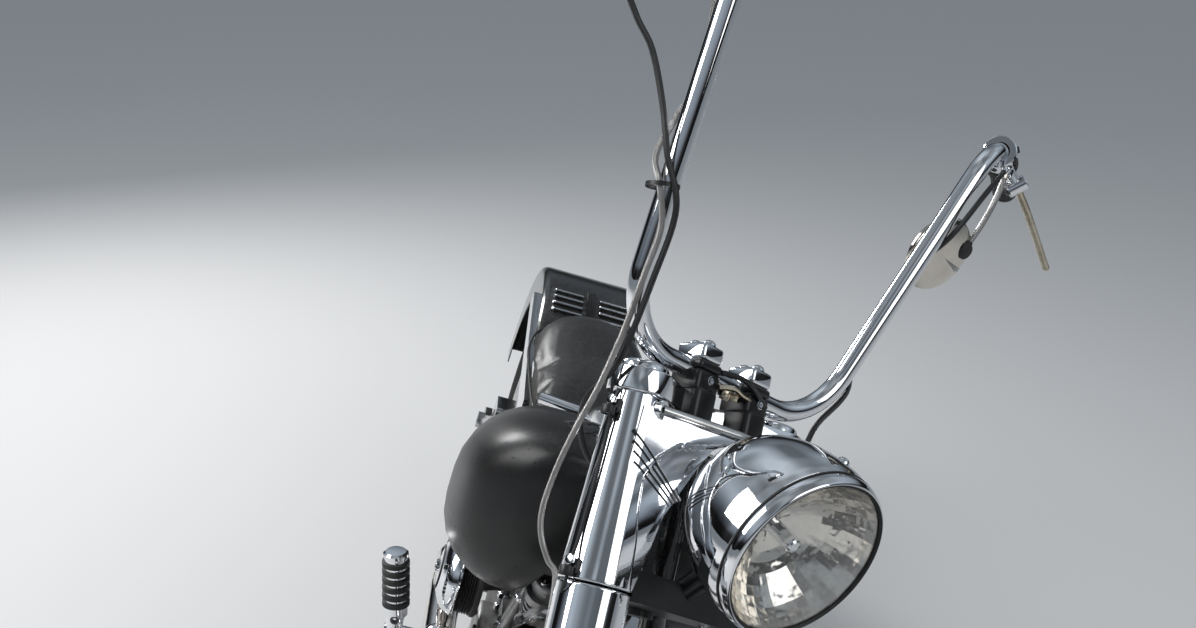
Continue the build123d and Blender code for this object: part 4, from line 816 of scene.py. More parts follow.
# Headlight: bowl, bezel with its gasket, lens, faceted reflector and bulb
lamp = {
    "facetRings": 9, "facetTurns": 40, "seed": 7, "jitter": (16, 84), "deep": 0.3, "wide": 0.2,
    "bowlLine": [(12, -150), (45, -139), (76, -112), (93, -78), (100.5, -42), (101.6, -20), (100, -7)],
    "gaskets": [
        [(93, -5.8), (100.4, -6.2), (100.4, -4.4), (93, -4.4)],
        [(91.6, 9.4), (94, 11.8), (94.8, 11.4), (94.6, 9), (92, 6)],
    ],
}
bowlProfile = [(0, -150), (8, -150)] + smoothLine(lamp["bowlLine"], 7)[1:] + [(98.6, -5.6), (94, -5.6)]
bezelProfile = (
    [(92, -4.6), (98.6, -4.6)]
    + arcPoints((99.4, -4), (100, 1), (98.4, 7), 6)
    + arcPoints((98, 8), (96.6, 10.4), (94.4, 11.4), 6)
    + [(93.4, 10.6), (93.2, 6), (92, 2)]
)
headlight = latheShape(bowlProfile, 160)
addLathe(headlight, bezelProfile, still, 160, True)
for profile in lamp["gaskets"]:
    addLathe(headlight, profile, still, 160, True, 1)
nubProfile = [(0, 4.5)] + arcPoints((0.01, 4.5), (5, 3.3), (7, 0), 6) + [(8.5, -0.6), (8.5, -2)]
addLathe(headlight, nubProfile, between((-100.6, 8, -34), (-110, 8.6, -34)))
addBolt(headlight, (101, 0, 2), (1, 0, 0.2), 3.4, 3)
makePiece("headlightBowl", headlight, lampFrame, "chrome softRubber", "front_end", "chrome",
          ["headlight_bowl"], 32)

lensProfile = arcPoints((0.01, 24), (47, 20.1), (93, 8.6), 18)
lensProfile += arcPoints((93, 6), (47, 17.5), (0.01, 21.4), 18)
makePiece("headlightLens", latheShape(lensProfile, 128, True), lampFrame, "lampGlass", "front_end",
          "lamp_glass", ["headlight_lens"], 40)

dice = random.Random(lamp["seed"])
reflector = latheShape(arcPoints((91, 5), (55, -44), (13, -60), lamp["facetRings"]), lamp["facetTurns"])
for vert in reflector.verts:
    if lamp["jitter"][0] < math.hypot(vert.co.x, vert.co.y) < lamp["jitter"][1]:
        vert.co.z += dice.uniform(-lamp["deep"], lamp["deep"])
        vert.co.x += dice.uniform(-lamp["wide"], lamp["wide"])
        vert.co.y += dice.uniform(-lamp["wide"], lamp["wide"])
addLathe(reflector, [(93, 5.6), (91, 5.6), (91, 4)], still, 96)
bulbProfile = [(0, -12), (3, -12)] + arcPoints((4, -12.4), (8.5, -15), (9.5, -22), 5)
bulbProfile += [(9.5, -58), (14, -60)]
addLathe(reflector, bulbProfile, still, 40, False, 1)
bmesh.ops.recalc_face_normals(reflector, faces=reflector.faces)
addBlock(reflector, (2.2, 26, 1.4), shift(0, 0, -34), 0.3, 1)
makePiece("headlightReflector", reflector, lampFrame, "reflectorFoil chrome", "front_end", "reflector",
          ["headlight_reflector"], 1)
print("fork covers, clamp and headlight made")

# Handlebar with grips, switch housings, perches and levers
barSettings = {
    "radius": 12.7, "corner": (54, 172, 15), "top": (195, 256, 425), "run": (-0.46, 0.883, 0.096),
    "reach": (0.494, 0.344, -0.797), "endLength": 215, "gripLength": 120, "bends": [70, 95, 95, 70],
    "perch": 83, "pivot": 42, "housing": (46, 74), "skin": 20.5, "screws": (50, 130),
    "buttons": ((-30, 52), (-30, 66), (-75, 59)), "blade": ((0, 0), (40, 24), (110, 48), (180, 70)),
    "bladeRadius": 8.2, "bladeFlat": 0.62,
}


def sided(point, side):
    return Vector((point[0], side * point[1], point[2]))


endRun = Vector(barSettings["run"]).normalized()
barEnd = Vector(barSettings["top"]) + endRun * barSettings["endLength"]
barPoints = [barEnd, barSettings["top"], barSettings["corner"]]
barPoints = barPoints + [sided(point, -1) for point in reversed(barPoints)]
bar = bmesh.new()
addTube(bar, roundedRoute(barPoints, barSettings["bends"], 22), barSettings["radius"], 40)
makePiece("handlebarTube", bar, forkFrame, "chrome", "front_end", "chrome", ["handlebar"], 50)

gripRings = [(12.75, 0), (21, 0), (22, 1.2), (22, 4), (20.5, 5.4), (16, 6.5)]
for n in range(14):
    start = 9 + n * 7.4
    gripRings += [(15.4, start), (16.9, start + 0.9), (16.9, start + 4.6), (15.4, start + 5.5)]
gripRings += [(15.4, 114), (17, 116), (17, 123), (15.5, 125), (12.75, 125)]
housing = [
    (12.75, 0), (20.5, 0), (22, 1.5), (22, 12.6), (21.5, 13), (22, 13.4), (22, 26.5), (20.5, 28), (12.75, 28),
]
lidProfile = [(0, -27), (13, -27), (15, -25), (15, 20), (16.5, 21), (16.5, 26), (15, 27.5), (0, 28)]
grips = bmesh.new()
controls = bmesh.new()
for side in (1, -1):
    run, reach = sided(endRun, side), sided(Vector(barSettings["reach"]).normalized(), side)
    top, end = sided(barSettings["top"], side), sided(barEnd, side)
    across = run.cross(reach)
    perch = top + run * barSettings["perch"]
    pivot = perch + reach * barSettings["pivot"]
    addLathe(grips, gripRings, between(end - run * barSettings["gripLength"], end), 48, True)
    addLathe(grips, [(0, 0), (15, 0), (16.5, 1.5), (16.5, 4), (0, 5.5)],
             between(end + run * 0.2, end + run * 6), 40, False, 1)
    start, stop = [top + run * along for along in barSettings["housing"]]
    addLathe(controls, housing, between(start, stop), 48, True)
    for turn in barSettings["screws"]:
        out = (Matrix.Rotation(math.radians(turn), 3, run) @ reach).normalized()
        addBolt(controls, top + run * 60 + out * barSettings["skin"], out, 4.2, 3, 3)
    for turn, slide in barSettings["buttons"]:
        out = (Matrix.Rotation(math.radians(turn * side), 3, run) @ reach).normalized()
        button = between(top + run * slide + out * barSettings["skin"], top + run * slide + out * 30)
        addBlock(controls, (9, 7, 5), button @ shift(0, 0, 2), 1.4, 2, 3)
    addLathe(controls, ringed(18, 0, 20, 12.75, 1.2), between(top + run * 73, top + run * 93), 44, True)
    addBlock(controls, (19, 15, 40), between(perch + reach * 12, pivot) @ shift(0, 0, 14), 4, 0, 4)
    for offset in (-7.5, 7.5):
        addBolt(controls, perch + run * offset - reach * 17 + across * side * 3, -reach, 3.8, 3)
    addLathe(controls, ringed(10, -13, 13, 0, 1), between(pivot, pivot + across))
    addBolt(controls, pivot + across * 13, across, 5.5, 3, 3)
    blade = bmesh.new()
    route = [pivot + run * ahead + reach * out for ahead, out in barSettings["blade"]]
    addTube(blade, roundedRoute(route, [60, 120], 10), barSettings["bladeRadius"], 20, "POLY", 1)
    ball = [(0, -8.6)] + arcPoints((0.01, -8.6), (8.6, 0), (0.01, 8.6), 12)
    addLathe(blade, ball, shift(*route[-1]), 24, False, 1)
    flatten = Matrix.Scale(barSettings["bladeFlat"], 4, across.normalized())
    addPart(controls, blade, shift(*pivot) @ flatten @ shift(*-pivot))
    if side < 0:
        middle = top + run * 59 + reach * 34
        addLathe(controls, lidProfile, between(middle, middle + run), 40)
makePiece("handGrips", grips, forkFrame, "softRubber chrome", "front_end", "rubber", ["grips"], 32)
makePiece("handControls", controls, forkFrame, "chrome agedAlloy softRubber darkSteel", "front_end", "chrome",
          ["hand_controls"], 34)

# Round mirror on a braided stem below the left bar end
mirror = {
    "centre": (118, 279, 284), "stem": 4, "stemAlong": 59, "stemReach": 20, "socket": (30, 22, 9),
    "bow": (10, 6, 7),
}
facing = Vector((math.cos(rake), 0, -math.sin(rake)))
sideways = Vector((0, 1, 0))
mirrorTurn = Matrix((sideways, facing.cross(sideways), facing)).transposed().to_4x4()
mirrorPlace = shift(*mirror["centre"]) @ mirrorTurn
mirrorShell = latheShape(
    [(0, 14)] + arcPoints((0.01, 14), (30, 12.6), (47, 7.5), 8) + arcPoints((48, 7), (51.6, 4), (52, 0.8), 5)
    + [(51.4, 0), (49.4, 0), (49, 1.6), (0, 1.6)], 96)
for face in mirrorShell.faces:
    glass = all(vert.co.z < 1.7 and math.hypot(vert.co.x, vert.co.y) < 49.3 for vert in face.verts)
    face.material_index = 1 if glass else 0
reach = Vector(barSettings["reach"]).normalized()
stemStart = Vector(barSettings["top"]) + endRun * mirror["stemAlong"] + reach * mirror["stemReach"]
first, last = mirrorPlace.inverted() @ stemStart, Vector(mirror["socket"])
addTube(mirrorShell, [first, (first + last) / 2 + Vector(mirror["bow"]), last], mirror["stem"], 16, "NURBS",
        2, 16)
addLathe(mirrorShell, [(0, 0), (7, 0), (7, 12), (5, 14), (0, 14)],
         between(last, last + (first - last).normalized()), 24, False, 3)
addLathe(mirrorShell, [(0, -3), (9, -3), (11, 0), (11, 4), (8, 6), (0, 6.5)], shift(*last) @ shift(0, 0, 1),
         28, False, 3)
makePiece("mirror", mirrorShell, forkFrame @ mirrorPlace, "mirrorBack mirrorFace braidedLine softRubber",
          "front_end", "chrome", ["mirrors"], 34)
print("handlebar, controls and mirror made")

# Tyres: bead, sidewall and a crown cut into ribs and blocks, one pitch repeated round the wheel
frontPlace = forkFrame @ shift(*frontCentre) @ turned(-90, "X")
rearPlace = bikeFrame @ shift(*rearCentre) @ turned(-90, "X")
tyreTable = {
    "frontTyre": {"radius": 321, "width": 124, "place": frontPlace, "body": "front_wheel",
                  "node": "front_tyre"},
    "rearTyre": {"radius": 321, "width": 150, "place": rearPlace, "body": "rear_wheel", "node": "rear_tyre"},
}
tread = {
    # columns and grooves in degrees over the crown, rows and crosswise cuts as shares of a pitch
    "pitches": 58, "depth": 4.6, "edge": 58, "slant": 0.55, "slantPitch": 30,
    "columns": [-58, -47, -42, -40, -30, -21, -18.5, -9, -1.4, 1.4, 9, 18.5, 21, 30, 40, 42, 47, 58],
    "grooves": [(-42, -40), (-21, -18.5), (-1.4, 1.4), (18.5, 21), (40, 42)],
    "rows": [0, 0.07, 0.5, 0.57, 1], "cuts": [(0, 0.07, 2, 47), (0.5, 0.57, 21, 47)],
}
bead = {"radius": 206, "half": 45, "shoulder": 220}


def treadPitch(radius, half):
    # a bent grid whose grooves are sunk, one pitch wide
    columns, rows = tread["columns"], tread["rows"]
    shape = bmesh.new()
    bmesh.ops.create_grid(shape, x_segments=len(rows) - 1, y_segments=len(columns) - 1, size=0.5)
    spread = math.tau / tread["pitches"]
    cells = {}
    for vert in shape.verts:
        row = rows[round((vert.co.x + 0.5) * (len(rows) - 1))]
        cells[vert] = (row, columns[round((vert.co.y + 0.5) * (len(columns) - 1))])
    for vert, (row, column) in cells.items():
        slope = math.radians(column)
        turn = spread * (row + tread["slant"] * abs(column) / tread["slantPitch"])
        vert.co = circlePoint(radius - half + half * math.cos(slope), turn, half * math.sin(slope))
    sunk = []
    for face in shape.faces:
        row = sum(cells[vert][0] for vert in face.verts) / 4
        column = sum(cells[vert][1] for vert in face.verts) / 4
        lengthwise = any(low < column < high for low, high in tread["grooves"])
        crosswise = any(
            start < row < end and near < abs(column) < far for start, end, near, far in tread["cuts"])
        if lengthwise or crosswise:
            sunk.append(face)
    grown = bmesh.ops.extrude_face_region(shape, geom=sunk)
    for vert in [item for item in grown["geom"] if isinstance(item, bmesh.types.BMVert)]:
        middle = circlePoint(radius - half, math.atan2(vert.co.y, vert.co.x))
        vert.co += (middle - vert.co).normalized() * tread["depth"]
    return shape


for name, tyre in tyreTable.items():
    half, count = tyre["width"] / 2, tread["pitches"]
    shape = treadPitch(tyre["radius"], half)
    bmesh.ops.spin(shape, geom=shape.verts[:] + shape.edges[:] + shape.faces[:], cent=(0, 0, 0),
                   axis=(0, 0, 1), angle=math.tau * (count - 1) / count, steps=count - 1, use_duplicate=True)
    bmesh.ops.remove_doubles(shape, verts=shape.verts, dist=0.02)
    ring, shoulder = tyre["radius"] - half, bead["shoulder"]
    flank = (shoulder + 0.35 * (ring - shoulder), 0.3 * bead["half"] + 0.7 * half)
    for side in (1, -1):
        slopes = [math.radians(tread["edge"] + n * 4) for n in range(9)]
        wall = [(ring + half * math.cos(slope), half * math.sin(slope)) for slope in slopes]
        wall += [(ring - 4, half - 0.2), (ring - 5, half + 0.5), (ring - 8, half + 0.5),
                 (ring - 9, half - 0.4)]
        wall += arcPoints((ring - 10, half - 0.5), flank, (shoulder + 3, 46), 8)[1:]
        wall += [(shoulder + 2.5, 47.6), (shoulder, 47.6), (shoulder - 1, bead["half"])]
        wall += [(bead["radius"], bead["half"]), (bead["radius"], 0)]
        addLathe(shape, [(radius, side * y) for radius, y in wall], still, count * 4)
    bmesh.ops.remove_doubles(shape, verts=shape.verts, dist=0.05)
    bmesh.ops.recalc_face_normals(shape, faces=shape.faces)
    makePiece(name, shape, tyre["place"], "tyreRubber", tyre["body"], "tyre", [tyre["node"]], 30)
print("tyres made")

# Wheels: rolled rim, hub with flanges, laced spokes with nipples and a valve
wheelTable = {
    "frontWheel": {"hub": 52, "bore": 12.55, "place": frontPlace, "body": "front_wheel",
                   "node": "front_wheel"},
    "rearWheel": {"hub": 60, "bore": 10.05, "place": rearPlace, "body": "rear_wheel", "node": "rear_wheel"},
}
lacing = {
    "perSide": 20, "spoke": 2.2, "hubRing": 41, "hubHeight": 38, "leadStep": 1.5, "rimRing": 192,
    "rimHeight": 9, "crossing": 62, "nippleRadius": 3.6, "nippleLength": 15,
}
rimHalf = (
    [(190.5, 24), (193, 38), (200, 47), 6], [(203, 49), (212, 51), (218.6, 49), 6],
)
flangeHalf = [(26, 12), (27.5, 22), (32, 30), (44, 35), (46, 36.4), (46, 40.4), (44, 42), (20, 42)]


def mirrored(half):
    # a profile from its upper half, lower half first
    return [(radius, -height) for radius, height in reversed(half)] + half


rimUpper = [(190, 12)]
for first, middle, last, steps in rimHalf:
    rimUpper += arcPoints(first, middle, last, steps)
rimUpper += [(219.4, 48), (219.4, 46), (219, 44.6), (206, 44.6)]
for name, wheel in wheelTable.items():
    bore, hub = wheel["bore"], wheel["hub"]
    shape = latheShape(mirrored(rimUpper), 160, True)
    addLathe(shape, mirrored(flangeHalf + [(20, hub - 2), (18, hub), (bore, hub)]), still, 64, True)
    for lead in (1, -1):
        for side in (1, -1):
            for n in range(lacing["perSide"] // 2):
                turn = 360 / lacing["perSide"] * (2 * n + (lead + 1) / 2 + (side + 1) / 4)
                # the wheel's own Z is the axle here, so the CAD's turn runs the other way about it
                hubTurn = -math.radians(turn + lead * lacing["crossing"])
                hubHeight = side * (lacing["hubHeight"] + lead * lacing["leadStep"])
                hubEnd = circlePoint(lacing["hubRing"], hubTurn, hubHeight)
                rimEnd = circlePoint(lacing["rimRing"], -math.radians(turn), side * lacing["rimHeight"])
                addRod(shape, hubEnd, rimEnd, lacing["spoke"], 0.4, 0, 8)
                back = (hubEnd - rimEnd).normalized()
                nippleEnd = rimEnd + back * lacing["nippleLength"]
                addRod(shape, rimEnd - back, nippleEnd, lacing["nippleRadius"], 0.8, 1, 8)
    addRod(shape, (189.5, 4, -14), (158, 3, -14), 3, 0.8, 1, 14)
    addRod(shape, (166, 3.2, -14), (156, 3, -14), 4.2, 1, 2, 14)
    makePiece(name, shape, wheel["place"], "chrome steel softRubber", wheel["body"], "chrome",
              [wheel["node"]], 32)
print("wheels laced")

# Disc and axle hardware
discHardware = [
    # name, place, which way the heads look, circle radius, height, phase, body, slot
    ("frontDiscBolts", frontPlace, -1, 34, -57.6, 0, "front_wheel", "steel"),
    ("rearDiscBolts", rearPlace, -1, 34, -65.6, 0, "rear_wheel", "steel"),
    ("pulleyBolts", rearPlace, 1, 52, 80.2, 0.5, "rear_wheel", "chrome"),
]
for name, place, facing, radius, height, phase, body, slotName in discHardware:
    shape = bmesh.new()
    boltRing(shape, still, (0, 0, facing), (5, radius, height), (6, 4.5), 0, phase)
    makePiece(name, shape, place, "darkSteel", body, slotName)
caliperBolts = bmesh.new()
for x, z in ((-36, -676), (-30, -616)):
    addBolt(caliperBolts, (x, -86.4, z), (0, -1, 0), 6, 4)
for x, z in ((-8, -620), (-8, -652)):
    addBolt(caliperBolts, (x, -106.4, z), (0, -1, 0), 6.5, 4.5)
makePiece("frontCaliperBolts", caliperBolts, forkFrame, "darkSteel", "front_end", "polished_aluminium")

# Rear fender: chrome lips on the black louvres as a painted highlight for their glints, a dull band between
# their rows, shallower sides toward the seat
louvres = {
    "radius": 349.5, "start": 66, "pitch": 3.4, "count": 4, "middle": 46, "length": 60, "lipRadius": 2.6,
    "lipOut": 5.6, "lipAlong": 6.6, "bandStart": 63, "bandStep": 0.9, "bandCount": 22, "bandOut": 1.2,
    "bandRadius": 2.4, "skirt": 80, "depth": 6, "keepLeast": 0.4, "keepFrom": 60, "keepOver": 60,
}
lips = bmesh.new()
for n in range(louvres["count"]):
    angle = math.radians(louvres["start"] + (n + 0.5) * louvres["pitch"])
    outward = Vector((math.cos(angle), 0, math.sin(angle)))
    along = Vector((math.sin(angle), 0, -math.cos(angle)))
    rise = outward * (louvres["radius"] + louvres["lipOut"]) + along * louvres["lipAlong"]
    for side in (1, -1):
        middle = rearCentre + rise + Vector((0, side * louvres["middle"], 0))
        reach = Vector((0, louvres["length"] / 2 - 1, 0))
        # the lips are chrome though the louvres are black paint: a painted highlight for the glints they
        # catch
        addRod(lips, middle - reach, middle + reach, louvres["lipRadius"], 0.8, 0, 14)
bandPoints = []
for n in range(louvres["bandCount"]):
    angle = math.radians(louvres["bandStart"] + louvres["bandStep"] * n)
    outward = Vector((math.cos(angle), 0, math.sin(angle)))
    bandPoints.append(rearCentre + outward * (louvres["radius"] + louvres["bandOut"]))
for y in (-6, -2, 2, 6):
    addTube(lips, [point + Vector((0, y, 0)) for point in bandPoints], louvres["bandRadius"], 8, "POLY", 1)
makePiece("louvreLipsPaintedGlint", lips, bikeFrame, "chrome riserBlack", "chassis", "gloss_black")

fenderShape = bmesh.new()
fenderShape.from_mesh(nodes["rear_fender"].data)
bmesh.ops.remove_doubles(fenderShape, verts=fenderShape.verts, dist=0.00002)
bmesh.ops.dissolve_limit(fenderShape, angle_limit=math.radians(0.5), verts=fenderShape.verts,
                         edges=fenderShape.edges)
toBike = bikeFrame.inverted()
crown = louvres["radius"] - louvres["depth"]
for vert in fenderShape.verts:
    spot = toBike @ vert.co - rearCentre
    radius, turn = math.hypot(spot.x, spot.z), math.degrees(math.atan2(spot.z, spot.x))
    if abs(spot.y) > louvres["skirt"] and radius < crown:
        share = max(0, min(1, (turn - louvres["keepFrom"]) / louvres["keepOver"]))
        keep = louvres["keepLeast"] + (1 - louvres["keepLeast"]) * share
        scale = (crown - (crown - radius) * keep) / radius
        spot.x, spot.z = spot.x * scale, spot.z * scale
    vert.co = bikeFrame @ (spot + rearCentre)
makePiece("fenderSheet", fenderShape, still, "glossBlack", "chassis", "gloss_black", ["rear_fender"], 30)
print("fender louvres finished")

# Front brake line and the two control cables
lineRadius = 3.5
lineRoutes = {
    "brake": [
        (197, -292, 401), (152, -243, 354), (134, -218, 294), (108, -219, 239), (99, -225, 197),
        (112, -222, 163), (109, -203, 123), (92, -195, 73), (68, -182, 19), (44, -176, -41), (18, -172, -92),
        (-2, -167, -136), (-14, -162, -178), (-16, -153, -206), (-12, -139, -229), (-8, -126, -244),
        (-8, -120, -300), (-8, -120, -400), (-14, -119, -470), (-8, -106, -560), (-6, -98, -616),
    ],
    "right": [
        (178, -315, 414), (150, -338, 384), (112, -338, 352), (104, -304, 322), (110, -275, 294),
        (118, -249, 240), (123, -231, 191), (126, -209, 156), (118, -196, 126), (98, -187, 71),
        (74, -176, 16), (50, -165, -18), (8, -160, -60), (-14, -120, -104), (10, -66, -150), (46, -60, -216),
    ],
    "left": [
        (178, 315, 414), (192, 251, 345), (161, 241, 288), (114, 231, 234), (76, 208, 124), (74, 206, 70),
        (62, 178, 22), (54, 174, -5), (50, 167, -34), (8, 160, -76), (-14, 120, -116), (10, 66, -156),
        (46, 60, -216),
    ],
}
lineEnd = [(0, -3), (4.9, -3), (5.5, -2.2), (5.5, 9), (4.5, 10), (4.5, 16), (3.5, 17.5), (0, 17.5)]
for name, node, finish, routes in (
        ("brakeLine", "brake_line", "braidedLine", ("brake",)),
        ("controlCables", "control_cables", "cableSheath", ("right", "left"))):
    shape = bmesh.new()
    for route in routes:
        points = smoothLine(lineRoutes[route], 6)
        addTube(shape, points, lineRadius, 14)
        for end, inner in ((points[0], points[4]), (points[-1], points[-5])):
            addLathe(shape, lineEnd, between(end, inner), 20, False, 1)
    makePiece(name, shape, forkFrame, finish + " chrome", "front_end", "rubber", [node], 40)


# Fuel tank halves: sections through rounded corners, joined by a flowing skin
def roundedRing(corners, steps=7, bulge=0.5523):
    # corners are (y, z, radius) in order; every corner gives as many points
    ring = []
    for n, (y, z, radius) in enumerate(corners):
        spot = Vector((y, z))
        reach, runs = radius, []
        for other in (corners[n - 1], corners[(n + 1) % len(corners)]):
            run = Vector(other[:2]) - spot
            reach = min(reach, run.length * 0.98 * radius / (radius + other[2]))
            runs.append(run.normalized())
        first, last = [spot + run * reach for run in runs]
        one, two = first.lerp(spot, bulge), last.lerp(spot, bulge)
        for k in range(steps + 1):
            t = k / steps
            early = first * (1 - t) ** 3 + one * 3 * t * (1 - t) ** 2
            ring.append(early + two * 3 * t * t * (1 - t) + last * t ** 3)
    return ring


def joinRings(shape, rings):
    for one, two in zip(rings, rings[1:]):
        for n in range(len(one)):
            shape.faces.new((one[n - 1], one[n], two[n], two[n - 1]))


def skin(rings, stations, steps=7):
    # rings of (y, z) at stations along x, joined with flowing lines and closed at both ends
    shape = bmesh.new()
    lines = []
    for n in range(len(rings[0])):
        lines.append(smoothLine([(x, *ring[n]) for x, ring in zip(stations, rings)], steps))
    grid = [[shape.verts.new(line[k]) for line in lines] for k in range(len(lines[0]))]
    joinRings(shape, grid)
    shape.faces.new(grid[0])
    shape.faces.new(list(reversed(grid[-1])))
    bmesh.ops.recalc_face_normals(shape, faces=shape.faces)
    return shape


tankInner = 32
tankTable = [
    # x, outer y, bottom z, top z, outer corner radius, inner corner radius
    (366, 100, 690, 782, 28, 16), (344, 154, 636, 803, 60, 24), (290, 204, 566, 804, 98, 30),
    (190, 222, 516, 780, 114, 34), (90, 216, 510, 742, 106, 34), (-10, 196, 524, 700, 80, 30),
    (-110, 150, 578, 662, 36, 20), (-160, 104, 616, 650, 14, 10),
]
tunnel = {"halfWidth": 96, "height": 604, "back": -116, "front": 300, "round": 18}
capSeat = [(0, -8), (33, -8), (34, -6), (34, -0.4), (32, 0.8), (0, 0.8)]
capProfile = [(0, 7)] + arcPoints((0.01, 7), (16, 6.2), (26, 4), 8)
capProfile += [(28.6, 3.2), (29.4, 2), (29.4, 0), (0, 0)]
for name, node, side in (("fuelTankLeft", "fuel_tank_left", 1), ("fuelTankRight", "fuel_tank_right", -1)):
    rings = []
    for x, outer, low, high, outerRound, innerRound in tankTable:
        roof = max(low + 0.5, tunnel["height"]) if tunnel["back"] < x < tunnel["front"] else low + 0.5
        hollow = roof > low + 1
        wall = tunnel["halfWidth"] if hollow else tankInner + (outer - tankInner) * 0.4
        corner = tunnel["round"] if hollow else 0.2
        rings.append(roundedRing([
            (side * tankInner, high, innerRound), (side * outer, high, outerRound),
            (side * outer, low, outerRound), (side * wall, low, corner), (side * wall, roof, corner),
            (side * tankInner, roof, innerRound),
        ]))
    tank = skin(rings, [row[0] for row in tankTable])
    capSpot = shift(256, side * 88, 796) @ turned(-8, "Y") @ turned(side * -14, "X")
    addLathe(tank, capSeat, capSpot, 64, False, 1)
    addLathe(tank, capProfile, capSpot, 64, False, 1)
    addBlock(tank, (9, 30, 3), capSpot @ shift(0, 0, 6.6), 1.2, 1, 3)
    hose = [(-60, side * 66, 604), (-40, side * 84, 570), (-20, side * 92, 548), (10, side * 94, 530)]
    addTube(tank, hose, 4.5, 14, "NURBS", 2)
    addRod(tank, (-60, side * 66, 612), (-60, side * 66, 590), 9, 1.5, 1, 24)
    makePiece(name, tank, bikeFrame, "mattBlack glossBlack softRubber", "chassis", "matt_black", [node], 40)
print("lines and tanks made")

# Console on the tank's seam with a round gauge, a knob and two tell-tales
console = {
    "line": [(338, 806), (290, 824), (190, 803), (90, 770), (-10, 728), (-112, 678)], "depth": 44,
    "halfWidth": 62, "tilt": -20, "gauge": (176, 0, 800), "knob": (72, 0, 768), "lights": (112, 26, 781),
    "sweepStart": -225, "sweep": 270, "ticks": 57, "longTick": (37.6, (6.4, 1.1, 0.5)),
    "shortTick": (38.8, (3.6, 0.6, 0.5)), "numerals": 9, "numeralStep": 20, "numeralRing": 29,
    "faceHeight": 12.3,
}
rings = []
consoleTop = smoothLine(console["line"], 8)
for n, (x, z) in enumerate(consoleTop):
    share = n / (len(consoleTop) - 1)
    nose = 0.72 + 0.28 * math.sin(math.pi * min(1, share * 2.4) / 2)
    half = console["halfWidth"] * nose * (1 - 0.58 * max(0, share - 0.45) ** 1.3)
    endDrop = 5 * max(0, 1 - n / 4) ** 2 + 5 * max(0, 1 - (len(consoleTop) - 1 - n) / 4) ** 2
    top, foot = z + 3 - endDrop, z - console["depth"]
    rings.append(roundedRing([(-half, top, 26), (half, top, 26), (half, foot, 2), (-half, foot, 2)], 6))
dash = skin(rings, [x for x, z in consoleTop], 1)
gaugePlace = shift(*console["gauge"]) @ turned(console["tilt"], "Y")
bezelProfile = [(44, 2), (49, 2), (50, 4), (50, 17)] + arcPoints((50, 17), (48.6, 20.6), (45, 21.6), 6)
addLathe(dash, bezelProfile + [(42.6, 20), (42, 16), (42, 12)], gaugePlace, 96, True)
addLathe(dash, [(0, 12), (43, 12), (43, 9), (0, 9)], gaugePlace, 72, False, 1)
for n in range(console["ticks"]):
    turn = console["sweepStart"] + n * console["sweep"] / (console["ticks"] - 1)
    radius, size = console["shortTick"] if n % 7 else console["longTick"]
    addBlock(dash, size, gaugePlace @ turned(turn, "Z") @ shift(radius, 0, console["faceHeight"]), 0, 2)
addBlock(dash, (33, 1.8, 0.8), gaugePlace @ turned(console["sweepStart"], "Z") @ shift(13, 0, 14), 0.3, 3)
addLathe(dash, [(0, 15.4), (4.6, 15.4), (5.6, 14.4), (5.6, 12), (0, 12)], gaugePlace, 28)
for n in range(console["numerals"]):
    turn = math.radians(console["sweepStart"] + n * console["sweep"] / (console["numerals"] - 1))
    font = bpy.data.curves.new("numeral", "FONT")
    font.body = str(console["numeralStep"] * n)
    font.size = 6.6
    font.extrude = 0.25
    font.align_x = "CENTER"
    font.align_y = "CENTER"
    mesh = curveMesh(font)
    spot = circlePoint(console["numeralRing"], turn, console["faceHeight"])
    mesh.transform(gaugePlace @ shift(*spot) @ turned(-90, "Z"))
    addMesh(dash, mesh, 2)
knob = shift(*console["knob"]) @ turned(console["tilt"], "Y")
knobProfile = [(0, -4), (25, -4), (26, -2), (26, 3), (24, 5), (15, 6), (14, 14), (12, 17), (0, 18)]
addLathe(dash, knobProfile, knob, 48)
addBlock(dash, (34, 9, 10), knob @ shift(0, 0, 20), 3, 0, 3)
domeProfile = [(0, 4.6)] + arcPoints((0.01, 4.6), (3.2, 3.6), (4.5, 1.4), 4) + [(0, 0)]
for side in (-1, 1):
    x, y, z = console["lights"]
    light = shift(x, side * y, z) @ turned(console["tilt"], "Y")
    addLathe(dash, [(4.4, -2), (6.4, -2), (6.6, 2), (5.4, 3), (4.4, 2.6)], light, 28, True)
    addLathe(dash, domeProfile, light, 24, False, 4)
makePiece("tankConsole", dash, bikeFrame, "chrome gaugeFace gaugeInk redLens amberLens", "chassis", "chrome",
          ["tank_console"], 36)
glassShape = latheShape([(0, 18.4), (42.4, 17), (42.4, 16), (0, 17.4)], 64)
makePiece("gaugeGlass", glassShape, bikeFrame @ gaugePlace, "lampGlass", "chassis", "lamp_glass", (), 40)
print("console and gauge made")

# Seat: a crowned saddle swelled by a cloth run, with a welt round its top
seat = {
    "outline": [(-188, 0), (-189, 52), (-200, 88), (-228, 103), (-300, 109), (-400, 114), (-480, 116),
                (-545, 105), (-586, 78), (-604, 40), (-609, 0)],
    "top": [(-186, 648), (-240, 642), (-390, 642), (-500, 672), (-570, 710), (-609, 728)],
    "bottom": [(-186, 607), (-609, 614)], "inset": 3.5, "voxel": 0.0055, "pressure": 4.0, "cap": 0.007,
    "frames": 20, "weltShare": 0.99, "weltRise": 0.24, "weltRadius": 2.6, "stitchPitch": 9, "stitchHalf": 2.4,
    "stitchRise": 4.6,
    "band": [
        # share of the outline, share of the height, extra mm of height
        (0.0, 0, 0), (0.5, 0, 0), (0.94, 0, 0), (0.985, 0.05, 0), (1.0, 0.14, 0), (0.99, 0.26, 0),
        (0.95, 0.4, 0), (0.88, 0.56, 1), (0.78, 0.72, 4), (0.65, 0.86, 9), (0.48, 0.96, 15), (0.26, 1.0, 20),
        (0.0, 1.0, 22),
    ],
}


